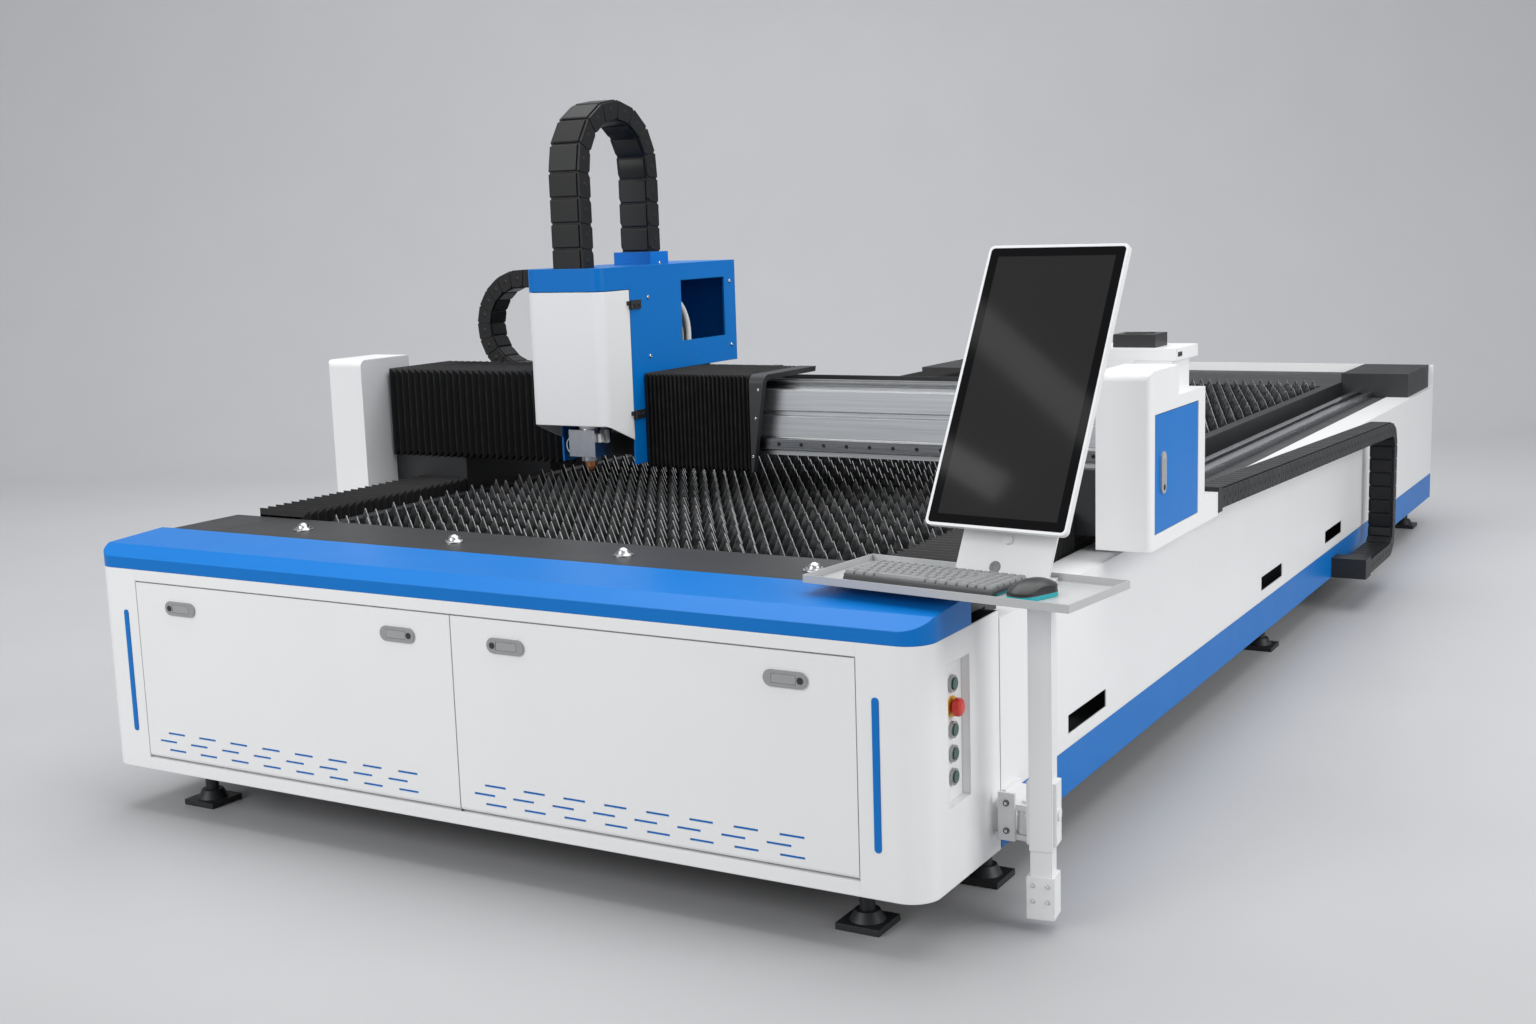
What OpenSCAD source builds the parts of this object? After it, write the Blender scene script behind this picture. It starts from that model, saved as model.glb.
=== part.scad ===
// Open-bed fiber laser cutting machine with a travelling gantry and a swing-out operator console.
// Millimetres, +Z up. Bed coordinates: x from the centre line, y back from the cabinet front, z from the floor.

/* [Bed] */
// Overall width of the bed and the front cabinet
bed_width = 2250; // [2050:10:2450]
// Length from the cabinet front to the rear panel
bed_length = 5250; // [4900:10:6000]
// Clear height between the floor and the underside
base_height = 117; // [90:1:150]
// Top of the side beams, where the guide rails sit
beam_top = 600; // [560:1:640]
// Height of the side beam boxes
beam_depth = 180; // [120:1:220]
// Width of one side beam box
beam_width = 287; // [272:1:312]
// Thickness of the wall sheets
sheet = 3; // [2:0.5:4]
// Seam left between neighbouring welded pieces
seam = 0.2; // [0.1:0.05:0.3]
// Height of the blue skirt's upper edge
skirt_top = 224; // [205:1:240]
// Width of the flange folded in at the top of the side walls
ledge_width = 105; // [80:1:105]
// Length of one wall slot
wall_slot_length = 250; // [150:1:260]
// Height of one wall slot
wall_slot_height = 43; // [20:1:50]
// Height of the rear panel's top edge
rear_top = 700; // [670:1:730]
// Thickness of the blue rear cover
rear_cover = 14; // [6:1:20]
// Side of a square foot pad
foot_pad = 98; // [80:1:120]
// Radius of a foot's threaded stem
foot_stem_r = 16; // [12:1:18]

/* [Front cabinet] */
// Depth of the front cabinet
cabinet_depth = 356; // [300:1:400]
// Top edge of the white cabinet
cabinet_top = 620; // [610:1:640]
// Radius of the cabinet's vertical front corners
cabinet_corner_r = 60; // [30:1:80]
// Width of the cabinet's fixed ends beside the doors
door_margin = 144; // [125:1:225]
// Lower edge of the doors
door_bottom = 151; // [148:1:165]
// Upper edge of the doors
door_top = 589; // [560:1:589]
// Gap between each door and its neighbours
door_gap = 3; // [2:0.5:5]
// Depth of the door pans
door_depth = 18; // [14:1:24]
// Thickness of the door sheet
door_sheet = 2.5; // [1.5:0.5:3]
// Radius of the hinge rod
hinge_rod_r = 4; // [3:0.5:5]
// Radial running clearance on rods and pins
run_clear = 0.1; // [0.05:0.01:0.1]
// Number of vent slots in one row of a door
vent_columns = 8; // [4:1:9]
// Length of one vent slot
vent_length = 56; // [30:1:70]
// Height of one vent slot
vent_height = 5; // [3:0.5:8]
// Inset of the two latches from a door's ends
latch_inset = 150; // [110:1:220]
// Distance of the latches below the door's top
latch_drop = 55; // [40:1:90]
// Rise of the blue cap's front fascia
cap_fascia = 28; // [15:1:40]
// Height of the blue cap's rear edge above the cabinet
cap_rise = 60; // [50:1:70]
// Depth of the blue cap
cap_depth = 220; // [180:1:240]
// Depth of the black rim plate behind the cap
rim_depth = 220; // [180:1:240]
// Thickness of the rim plate
rim_plate_t = 8; // [4:1:12]
// Radius of a transfer ball
ball_r = 15; // [11:0.5:20]

/* [Table] */
// Height of the slat tips above the floor
slat_tip = 690; // [680:1:700]
// Overall height of a slat
slat_height = 120; // [105:1:125]
// Height of a slat's teeth
tooth_height = 45; // [25:1:55]
// Pitch of the teeth along a slat
tooth_pitch = 43; // [30:1:80]
// Pitch of the slats along the bed
slat_pitch = 110; // [90:1:200]
// Thickness of a slat
slat_t = 3; // [2:0.5:4]
// Length of the slatted table
table_length = 4160; // [3600:10:4200]
// Height of the black bars beside the table
side_bar_top = 662; // [650:1:670]

/* [Guides] */
// Width of the linear guide rails
rail_w = 28; // [20:1:34]
// Height of the linear guide rails
rail_h = 26; // [20:1:28]
// Distance of the long rails from the side beams' inner faces
rail_inset = 65; // [55:1:70]
// Side of the square toothed racks
rack_side = 24; // [18:1:25]
// Running clearance between sliding pieces
slide_clear = 0.3; // [0.2:0.05:0.5]
// Depth of the folds in the bellows
fold_depth = 14; // [8:1:14]

/* [Gantry] */
// Place of the gantry at rest, back from the cabinet front
gantry_front = 1030; // [1020:1:1040]
// How far the end covers reach ahead of the gantry's place
cover_lead = 58; // [40:1:70]
// How far the end covers stand out past the side walls
cover_reach = 115; // [111:1:135]
// Width of one end cover
cover_width = 130; // [120:1:136]
// Top of the end covers
cover_top = 1046; // [1030:1:1060]
// Wall of the end covers and the head cover
cover_wall = 2.5; // [1.5:0.5:3]
// Underside of the gantry beam
beam_z = 800; // [790:1:810]
// Height of the gantry beam
x_beam_h = 170; // [160:1:170]
// Depth of the gantry beam, front to back
x_beam_d = 250; // [200:1:250]
// Width of the blue door in the right cover
cover_door_w = 338; // [260:1:345]
// Height of the blue door in the right cover
cover_door_h = 276; // [200:1:285]

/* [Cutting head] */
// Resting place of the head's centre, from the bed's centre line
head_x = -320; // [-500:1:300]
// Outer width of the head housing
head_w = 244; // [220:1:260]
// Front of the head housing
head_front = 896; // [880:1:910]
// Top of the head housing
head_top = 1300; // [1290:1:1330]
// Underside of the housing behind the beam's front
housing_low = 1012; // [1008:1:1020]
// Height of the nozzle tip above the floor
nozzle_tip = 753; // [745:1:760]

/* [Drag chains] */
// Height of a chain's links
link_h = 54; // [44:1:56]
// Depth of the gap between two links
link_notch = 5; // [2:0.5:8]
// Width of the long chain beside the bed
long_chain_w = 90; // [80:1:100]
// Width of the chain on the beam
beam_chain_w = 80; // [60:1:85]
// Width of the chain over the head
head_chain_w = 100; // [80:1:105]

/* [Console] */
// Swing of the console at rest, seen from above
console_yaw = -7; // [-10:1:0]
// Side of the square column
column_side = 46; // [42:1:52]
// Height of the tray above the floor
tray_z = 700; // [700:1:720]
// Width of the tray
tray_w = 585; // [520:1:620]
// Depth of the tray
tray_d = 250; // [220:1:270]
// Height of the tray's rim
tray_lip = 14; // [8:1:20]
// Width of the screen
screen_w = 315; // [280:1:340]
// Height of the screen
screen_h = 608; // [540:1:640]
// Thickness of the screen's casing
screen_t = 36; // [30:1:40]
// Backward lean of the screen at rest
screen_lean = 27; // [20:1:30]

/* [Hidden] */
$fn = 48;

white = "whitesmoke";
blue = "dodgerblue";
black = "#1c1d1f";
steel = "silver";

half_w = bed_width / 2;
wall_in = half_w - sheet;
beam_inner = wall_in - beam_width;
rail_x = beam_inner + rail_inset;
gantry_half = half_w + cover_reach;
door_reach = half_w - door_margin;
bed_back = bed_length - sheet;
bed_front = cabinet_depth + 4;
skin = 2;

// Console hinge pin, in bed coordinates, and the reach that sets the middle of the whole machine
pin_x = half_w + 65;
pin_y = 335;
tray_right = 230;
console_right = pin_x + tray_right * cos(console_yaw);
bed_mid_x = -(console_right - gantry_half) / 2;

// Places along the bed of the posts, cross members and feet
post_rows = [470, 1570, 2720, 3900, bed_length - 130];
post_x = half_w - 125;
base_rail_top = 215;
foot_x = half_w - 85;
foot_places = [[foot_x - 113, 136], [foot_x, post_rows[0]], [foot_x, post_rows[2]], [foot_x, post_rows[4]]];
wall_slot_starts = [750, 2400, 3236];
wall_slot_z = 255;
cross_top = slat_tip - slat_height - 30;

// Slatted table
table_y = cap_depth + rim_depth;
bar_t = 40;
slat_half = beam_inner - bar_t - 5;
first_slat = table_y + 40;
slat_count = floor((table_length - 80) / slat_pitch) + 1;
table_end = table_y + table_length;
rim_top = cabinet_top + cap_rise;
rim_joint = wall_in - 192;
ball_pitch = 0.5215 * rim_joint;
ball_xs = [for (k = [-1.5:1:1.5]) k * ball_pitch];
ball_y = cap_depth + 96;
ball_z = rim_top + 4;
cup_r = ball_r + 3;

// Doors
door_in = door_gap / 2;
hinge_y = door_depth / 2;
hinge_z = door_bottom + hinge_y;
vent_low = hinge_z + 15;
vent_rise = 21;
vent_pitch = (door_reach - 141) / vent_columns;
latch_z = door_top - latch_drop;
latch_len = 98;
latch_half_h = 17;
latch_face = 4.5;
paddle_len = 54;
paddle_h = 18;
paddle_t = 2.7;
paddle_gap = 0.5;
light_x = (door_reach + half_w - cabinet_corner_r) / 2;

// Operator buttons in the recess of the cabinet's right side
pan_depth = 18;
pan_y = [105, 208];
pan_z = [280, 565];
button_y = 160;
button_zs = [515, 423, 375, 328];
estop_z = 469;
pan_x = half_w - pan_depth;
button_r = 12;
bezel_h = 7;
button_travel = 3.5;

// Gantry
saddle_in = beam_inner + 10;
cover_in = gantry_half - cover_width;
cover_front = gantry_front - cover_lead;
saddle_front = gantry_front + 70;
saddle_len = 400;
saddle_low = beam_top + 42;
x_beam_front = gantry_front + 100;
x_beam_back = x_beam_front + x_beam_d;
x_beam_top = beam_z + x_beam_h;
x_rail_z = beam_z + 17;
x_rail_d = 20;
cover_low = beam_top + 34;
cover_step = [208, 425, 545];
cover_mid = 975;
cover_foot = 695;
door_y = cover_front + 31;
door_z = 670;
door_tube_r = 7;
door_rod_r = 3;
lid_h = 30;
lid_y = gantry_front + 235;
fan_r = 40;
bellows_front = gantry_front + 62;
bellows_top = x_beam_top + 30;
bellows_low = beam_z - 28;

// Head
head_half = head_w / 2;
plate_t = 6;
leg_y = gantry_front - 2;
leg_d = 80;
head_back = 1572;
hood_low = head_top - 60;
head_corner_r = 28;
cover_edge = [888, 838];
head_right = head_x + head_half;
head_left = head_x - head_half;
carriage_back = bellows_front;
carriage_t = 12;
carriage_front = carriage_back - carriage_t;
hinge_leaf_zs = [906, 1199];
head_pin_x = head_right + 6;
head_pin_y = leg_y - 1;

// Chains
beam_chain_y = x_beam_back + 52;
beam_tray_z = x_beam_top - 26;
low_run = beam_tray_z + 3.5 + link_h / 2;
high_run = 1258;
beam_bend_x = 230 - cover_in;
beam_chain_end = -40;
head_leg_y = head_front + 9 + link_h / 2;
head_leg_back = 1250;
head_chain_start = head_top - 15;
head_bend_z = 1552;
bracket_top = head_top + 34;
head_chain_x = head_x + 15;
long_chain_x = half_w + 27;
long_high = beam_top + 45 + link_h / 2;
long_drop = 80;
long_low = 150;
long_bend_y = 3760;
long_bend_r = 70;
long_start = cover_front + cover_step[2] + 35;
long_anchor = 3420;
long_fall = atan(long_drop / (long_bend_y - long_start));
long_gap = slide_clear + link_h / 2 * sin(long_fall);

module on_bed() {
    translate([bed_mid_x, -bed_length / 2, 0]) children();
}

module on_console() {
    on_bed() translate([pin_x, pin_y, 0]) rotate([0, 0, console_yaw]) children();
}

// Screen frame: x across, z up the screen, y behind it, from the middle of its lower front edge
screen_base = [-30, -69, tray_z + 100];
module on_screen() {
    on_console() translate(screen_base) rotate([-screen_lean, 0, 0]) children();
}

module both_sides() {
    children();
    mirror([1, 0, 0]) children();
}

module box(low, high) {
    translate(low) cube(high - low);
}

// Outline in (y, z) swept along x
module along_x(x0, x1) {
    translate([x0, 0, 0]) rotate([90, 0, 90]) linear_extrude(x1 - x0) children();
}

// Outline in (x, z) swept along y
module along_y(y0, y1) {
    translate([0, y1, 0]) rotate([90, 0, 0]) linear_extrude(y1 - y0) children();
}

module rod_x(x0, x1, y, z, r) {
    translate([x0, y, z]) rotate([0, 90, 0]) cylinder(h = x1 - x0, r = r);
}

// Rounded bar outline, its length along x
module stadium(length, width) {
    square([length - width, width], center = true);
    for (side = [-1, 1]) translate([side * (length - width) / 2, 0]) circle(d = width);
}

// Cabinet outline seen from above, set in by a wall
module cabinet_plan(inset) {
    r = cabinet_corner_r - inset;
    w = half_w - inset;
    translate([-w, cabinet_corner_r]) square([2 * w, cabinet_depth - cabinet_corner_r]);
    translate([-w + r, inset]) square([2 * (w - r), cabinet_corner_r - inset]);
    for (side = [-1, 1]) translate([side * (w - r), cabinet_corner_r]) circle(r = r);
}

// Box outline with two round corners at its low-y side
module round_front_plan(x0, x1, y0, y1, r) {
    translate([x0, y0 + r]) square([x1 - x0, y1 - y0 - r]);
    translate([x0 + r, y0]) square([x1 - x0 - 2 * r, r]);
    for (x = [x0 + r, x1 - r]) translate([x, y0 + r]) circle(r = r);
}

// Point and heading at a distance along a track of [length, turn] stretches
function track(parts, s, p = [0, 0], a = 0, i = 0) =
    let (run = parts[i][0], turn = parts[i][1], d = min(s, run))
    let (r = turn == 0 ? 0 : run / (turn * PI / 180), b = turn == 0 ? a : a + d / r * 180 / PI)
    let (q = turn == 0 ? p + d * [cos(a), sin(a)] : p + r * [sin(b) - sin(a), cos(a) - cos(b)])
    (s <= run || i == len(parts) - 1) ? [q, b] : track(parts, s - run, q, b, i + 1);

function beside(parts, start, heading, s, offset) =
    let (t = track(parts, s, start, heading))
    t[0] + offset * [-sin(t[1]), cos(t[1])];

function track_length(parts, i = 0) = i == len(parts) ? 0 : parts[i][0] + track_length(parts, i + 1);

// Side outline of a drag chain whose links follow a track
module chain_outline(parts, start, heading, link_goal) {
    total = track_length(parts);
    links = round(total / link_goal);
    pitch = total / links;
    gap = 3;
    h = link_h / 2;
    in_end = function (k) k == 0 ? 0 : k * pitch + gap / 2;
    out_end = function (k) k == links - 1 ? total : (k + 1) * pitch - gap / 2;
    corners = function (k) [
        [in_end(k), h - link_notch], [in_end(k), h], [out_end(k), h], [out_end(k), h - link_notch]
    ];
    upper = [for (k = [0:links - 1]) for (c = corners(k)) beside(parts, start, heading, c[0], c[1])];
    lower = [for (k = [0:links - 1]) for (c = corners(k)) beside(parts, start, heading, c[0], -c[1])];
    polygon(concat(upper, [for (i = [len(lower) - 1:-1:0]) lower[i]]));
}

// Folded sheet whose open section, a path in (a, b), swells and shrinks along its length
module folded_sheet(length, folds, section) {
    n = len(section(0));
    rings = 2 * folds + 1;
    step = length / (rings - 1);
    points = [for (k = [0:rings - 1]) for (p = section(k % 2 == 0 ? 0 : fold_depth)) [p[0], k * step,
        p[1]]];
    sides = [for (k = [0:rings - 2]) for (i = [0:n - 1])
        [k * n + i, k * n + (i + 1) % n, (k + 1) * n + (i + 1) % n, (k + 1) * n + i]];
    ends = [[for (i = [n - 1:-1:0]) i], [for (i = [0:n - 1]) (rings - 1) * n + i]];
    polyhedron(points, concat(sides, ends));
}

// Sections of the bellows, as closed loops of sheet
y_fold_in = beam_inner + 3 + fold_depth;
y_fold_out = half_w - ledge_width - 3 - fold_depth;
y_fold_low = beam_top + 4;
y_fold_top = rear_top - fold_depth;
y_section = function (s) [
    [y_fold_out + s, y_fold_low], [y_fold_out + s, y_fold_top + s], [y_fold_in - s, y_fold_top + s],
    [y_fold_in - s, y_fold_low + 1], [y_fold_in - s + skin, y_fold_low + 1],
    [y_fold_in - s + skin, y_fold_top + s - skin],
    [y_fold_out + s - skin, y_fold_top + s - skin], [y_fold_out + s - skin, y_fold_low]
];
x_section = function (s) [
    [x_beam_back - 20, bellows_top + s], [bellows_front - s, bellows_top + s], [bellows_front - s,
        bellows_low - s],
    [saddle_front - 2, bellows_low - s], [saddle_front - 2, bellows_low - s + skin],
    [bellows_front - s + skin, bellows_low - s + skin], [bellows_front - s + skin, bellows_top + s - skin],
    [x_beam_back - 20, bellows_top + s - skin]
];

module bed_frame() color("#2b2d30") on_bed() {
    both_sides() {
        box([beam_inner, bed_front + 20, beam_top - beam_depth], [wall_in, bed_back, beam_top]);
        box([post_x, bed_front + 20, base_height], [wall_in, bed_back, base_rail_top]);
        for (y = post_rows)
            box([post_x, y - 50, base_rail_top + seam], [wall_in, y + 50, beam_top - beam_depth - seam]);
    }
    for (y = post_rows)
        box([-beam_inner + seam, y - 50, cross_top - 110], [beam_inner - seam, y + 50, cross_top]);
    box([-post_x + seam, bed_front + 20, base_rail_top - 15], [post_x - seam, bed_back,
        base_rail_top - 12]);
    difference() {
        union() {
            box([-wall_in + 37, cap_depth + seam, cabinet_top], [wall_in - 37, table_y,
                rim_top - rim_plate_t]);
            both_sides()
                box([beam_inner, bed_front + 22, beam_top + sheet + seam], [wall_in - 37, table_y,
                    cabinet_top + 1]);
        }
        for (x = ball_xs) translate([x, ball_y, ball_z - 24 - seam]) cylinder(h = 60, r = cup_r + seam);
    }
}

module wall_panels() color(white) on_bed() {
    both_sides() difference() {
        along_y(bed_front, bed_back - seam) polygon([
            [wall_in, skirt_top], [half_w, skirt_top], [half_w, beam_top + sheet],
            [half_w - ledge_width, beam_top + sheet], [half_w - ledge_width, beam_top], [wall_in, beam_top]
        ]);
        for (y = wall_slot_starts)
            box([wall_in - 5, y, wall_slot_z], [half_w + 5, y + wall_slot_length,
                wall_slot_z + wall_slot_height]);
    }
    box([-half_w, bed_back, base_height], [half_w, bed_length, rear_top]);
}

module blue_skirts() color(blue) on_bed() {
    both_sides() {
        box([wall_in, bed_front, base_height + 2], [half_w, bed_back - seam, skirt_top - seam]);
        translate([light_x, 0, (pan_z[0] + pan_z[1]) / 2 - 58])
            rotate([90, 90, 0]) linear_extrude(1.5) stadium(306, 15);
    }
    box([-half_w + 30, bed_length, skirt_top + 13], [half_w - 30, bed_length + rear_cover, beam_top + 46]);
}

module levelling_feet() color(black) on_bed() {
    both_sides() for (p = foot_places) translate([p[0], p[1], 0]) {
        box([-foot_pad / 2, -foot_pad / 2, 0], [foot_pad / 2, foot_pad / 2, 14]);
        translate([0, 0, 13]) cylinder(h = 22, r1 = 38, r2 = foot_stem_r + 10);
        cylinder(h = base_height, r = foot_stem_r);
        translate([0, 0, base_height - 40]) cylinder(h = 24, r = foot_stem_r + 12, $fn = 6);
        box([-46, -42, base_height - 12], [46, 42, base_height]);
    }
}

module cabinet_shell() color(white) on_bed() {
    stile_x = door_reach + 2;
    difference() {
        union() {
            translate([0, 0, base_height]) linear_extrude(cabinet_top - base_height) difference() {
                cabinet_plan(0);
                cabinet_plan(sheet);
                translate([-stile_x, -1]) square([2 * stile_x, cabinet_depth + 2]);
                translate([-half_w - 1, cabinet_depth - 0.01]) square([bed_width + 2, 1]);
                translate([-wall_in, cabinet_depth - sheet - 1]) square([2 * wall_in, sheet + 2]);
            }
            both_sides() box([stile_x, 0, base_height], [stile_x + sheet, 30, cabinet_top]);
        }
        box([wall_in - 5, pan_y[0], pan_z[0]], [half_w + 5, pan_y[1], pan_z[1]]);
    }
    box([-stile_x + seam, 0, door_top + door_gap], [stile_x - seam, 25, cabinet_top]);
    box([-stile_x + seam, 0, base_height], [stile_x - seam, 25, door_bottom - door_gap]);
    difference() {
        box([pan_x - skin, pan_y[0] - skin, pan_z[0] - skin], [wall_in - seam, pan_y[1] + skin,
            pan_z[1] + skin]);
        box([pan_x, pan_y[0], pan_z[0]], [half_w, pan_y[1], pan_z[1]]);
        for (z = concat(button_zs, [estop_z])) rod_x(pan_x - 10, pan_x + 10, button_y, z,
            button_r + 2 + seam);
    }
}

module cabinet_lining() color("gainsboro") on_bed() {
    front = 25 + seam;
    translate([0, 0, base_height]) linear_extrude(sheet) difference() {
        cabinet_plan(sheet + seam);
        translate([-half_w, -1]) square([bed_width, 31 + seam]);
        translate([-half_w, cabinet_depth - sheet - seam]) square([bed_width, 9]);
    }
    box([-wall_in + seam, cabinet_depth - sheet, base_height], [wall_in - seam, cabinet_depth,
        cabinet_top]);
    difference() {
        union() {
            box([-20, front, base_height + sheet + seam], [20, front + 35, cabinet_top - 1]);
            box([-door_in + slide_clear, 3, door_bottom - door_gap + seam], [door_in - slide_clear,
                front + 1, hinge_z + 11]);
        }
        rod_x(-30, 30, hinge_y, hinge_z, hinge_rod_r + run_clear);
    }
    box([-1.5, front + 35 + seam, base_height + sheet + seam], [1.5, cabinet_depth - sheet - seam,
        cabinet_top - 1]);
    rod_x(-door_reach - 2, door_reach + 2, hinge_y, hinge_z, hinge_rod_r);
}

module cabinet_equipment() color("#55595e") on_bed() {
    floor_z = base_height + sheet;
    difference() {
        box([-820, 80, floor_z], [-220, 330, floor_z + 330]);
        for (i = [0:9]) box([-760 + i * 50, 79, floor_z + 60], [-735 + i * 50, 86, floor_z + 200]);
    }
    box([180, cabinet_depth - sheet - 12, floor_z], [940, cabinet_depth - sheet, floor_z + 430]);
    for (i = [0:4])
        box([210 + i * 145, 210, floor_z + 120], [330 + i * 145, cabinet_depth - sheet - 12 - seam,
            floor_z + 360]);
}

module front_cap() color(blue) on_bed() intersection() {
    along_x(-half_w, half_w) polygon([
        [0, cabinet_top], [0, cabinet_top + cap_fascia], [50, cabinet_top + cap_rise - 10],
        [cap_depth, rim_top], [cap_depth, cabinet_top]
    ]);
    translate([0, 0, cabinet_top - 1]) linear_extrude(cap_rise + 2) cabinet_plan(0);
}

module rim_plates() color("#232426") on_bed() difference() {
    union() {
        box([-rim_joint, cap_depth + seam, rim_top - rim_plate_t], [rim_joint, table_y, rim_top]);
        both_sides() box([rim_joint + 2, cap_depth + seam, rim_top - rim_plate_t], [wall_in - 37,
            table_y, rim_top]);
    }
    for (x = ball_xs) translate([x, ball_y, rim_top - 20]) cylinder(h = 40, r = cup_r + seam);
}

module ball_transfers() color(steel) on_bed() for (x = ball_xs) translate([x, ball_y, 0]) {
    difference() {
        union() {
            translate([0, 0, ball_z - 24]) cylinder(h = 24, r = cup_r);
            translate([0, 0, rim_top]) cylinder(h = 3, r = cup_r + 6);
            translate([0, 0, rim_top + 3]) cylinder(h = 4, r1 = cup_r + 3, r2 = cup_r);
        }
        translate([0, 0, ball_z]) sphere(r = ball_r + slide_clear);
    }
    translate([0, 0, ball_z]) sphere(r = ball_r);
}

module table_sides() color(black) on_bed() {
    comb_low = cross_top;
    comb_top = slat_tip - slat_height + 20;
    notch = slat_t + 1;
    slat_ys = [for (i = [0:slat_count - 1]) first_slat + i * slat_pitch];
    both_sides() {
        box([beam_inner - bar_t, table_y + seam, beam_top - 40], [beam_inner, bed_back, side_bar_top]);
        box([beam_inner + 1, bed_length - 470, beam_top + sheet], [half_w - 20, bed_back, rear_top]);
    }
    for (x = (slat_half - 90) * [-1, 0, 1]) along_x(x - 5, x + 5) polygon(concat(
        [[table_y + 5, comb_low], [table_y + 5, comb_top]],
        [for (y = slat_ys) each [
            [y - notch / 2, comb_top], [y - notch / 2, slat_tip - slat_height],
            [y + notch / 2, slat_tip - slat_height], [y + notch / 2, comb_top]
        ]],
        [[table_end - 5, comb_top], [table_end - 5, comb_low]]
    ));
    box([-beam_inner + bar_t + seam, table_end, beam_top - 40], [beam_inner - bar_t - seam,
        table_end + 40, side_bar_top]);
    box([-beam_inner + bar_t + seam, table_end + 40 + seam, side_bar_top - 6],
        [beam_inner - bar_t - seam, bed_back, side_bar_top]);
    box([half_w, long_anchor - 80, long_low - 31], [long_chain_x + long_chain_w, long_anchor,
        long_low + 38]);
}

module slats() color("#3a3c3f") on_bed() {
    teeth = floor(2 * slat_half / tooth_pitch);
    pitch = 2 * slat_half / teeth;
    valley = slat_tip - tooth_height;
    for (i = [0:slat_count - 1])
        along_y(first_slat + i * slat_pitch - slat_t / 2,
            first_slat + i * slat_pitch + slat_t / 2) polygon(concat(
            [[-slat_half, slat_tip - slat_height]],
            [for (k = [0:teeth - 1]) each [
                [-slat_half + k * pitch, valley], [-slat_half + (k + 0.5) * pitch, slat_tip]
            ]],
            [[slat_half, valley], [slat_half, slat_tip - slat_height]]
        ));
}

module rail_outline(w, h) {
    polygon([
        [-w / 2, 0], [w / 2, 0], [w / 2, h * 0.35], [w * 0.38, h * 0.5], [w * 0.38, h * 0.68], [w / 2,
            h * 0.8],
        [w / 2, h], [-w / 2, h], [-w / 2, h * 0.8], [-w * 0.38, h * 0.68], [-w * 0.38, h * 0.5], [-w / 2,
            h * 0.35]
    ]);
}

module y_rails() color(steel) on_bed() both_sides() {
    along_y(table_y + 10, bed_length - 475) translate([rail_x, beam_top]) rail_outline(rail_w, rail_h);
    box([rail_x + 43, table_y + 10, beam_top], [rail_x + 43 + rack_side, bed_length - 475,
        beam_top + rack_side]);
}

module button_bezels() color("darkgray") on_bed() {
    for (z = button_zs) difference() {
        union() {
            rod_x(pan_x, pan_x + bezel_h, button_y, z, button_r + 5);
            rod_x(pan_x - 40, pan_x, button_y, z, button_r + 2);
        }
        rod_x(pan_x - 14, pan_x + 20, button_y, z, button_r + slide_clear);
    }
    difference() {
        union() {
            rod_x(pan_x, pan_x + 3, button_y, estop_z, 21);
            rod_x(pan_x - 40, pan_x, button_y, estop_z, button_r + 2);
        }
        rod_x(pan_x - 14, pan_x + 20, button_y, estop_z, button_r - 1 + slide_clear);
    }
}

module push_button(z) color("darkgreen") on_bed()
    rod_x(pan_x - 10, pan_x + bezel_h + 3, button_y, z, button_r);
module push_button_1() push_button(button_zs[0]);
module push_button_2() push_button(button_zs[1]);
module push_button_3() push_button(button_zs[2]);
module push_button_4() push_button(button_zs[3]);

module emergency_button() color("red") on_bed() translate([pan_x, button_y, estop_z]) rotate([0, 90, 0]) {
    rotate_extrude() polygon([
        [0, -9], [button_r - 1, -9], [button_r - 1, 7.5], [16, 7.5], [18.5, 10], [18.5, 18], [16, 22],
            [10, 24.5], [0, 25]
    ]);
}

// One latch: a plate that stands on the door's face, with a pocket for the paddle and a round key lock
module latch_plate() {
    difference() {
        rotate([90, 0, 0]) linear_extrude(latch_face) stadium(latch_len, 2 * latch_half_h);
        box([-30 - paddle_gap, -latch_face - 1, -paddle_h / 2 - paddle_gap],
            [-30 + paddle_len + paddle_gap, -latch_face + paddle_t + paddle_gap,
                paddle_h / 2 + paddle_gap]);
    }
    translate([paddle_len - 20, -latch_face, 0]) rotate([90, 0, 0]) cylinder(h = 1.2, r = 7);
}

// The paddle turns about the barrel at its end nearest the key lock
module latch_paddle_form() {
    barrel = paddle_t / 2;
    translate([-30 + paddle_len - barrel, -latch_face + barrel, -paddle_h / 2]) cylinder(h = paddle_h,
        r = barrel);
    box([-30, -latch_face, -paddle_h / 2], [-30 + paddle_len - barrel, -latch_face + paddle_t,
        paddle_h / 2]);
}

// Latch places on the doors: [x, side that the key lock faces]
latch_places = [
    [-door_reach + latch_inset, -1], [-latch_inset, 1], [latch_inset, -1], [door_reach - latch_inset, 1]
];
module at_latch(i) {
    on_bed() translate([latch_places[i][0], 0, latch_z]) scale_side(latch_places[i][1]) children();
}
module scale_side(side) {
    if (side > 0) children();
    else mirror([1, 0, 0]) children();
}
module latch_paddle(i) color("gray") at_latch(i) latch_paddle_form();
module latch_paddle_1() latch_paddle(0);
module latch_paddle_2() latch_paddle(1);
module latch_paddle_3() latch_paddle(2);
module latch_paddle_4() latch_paddle(3);

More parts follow.
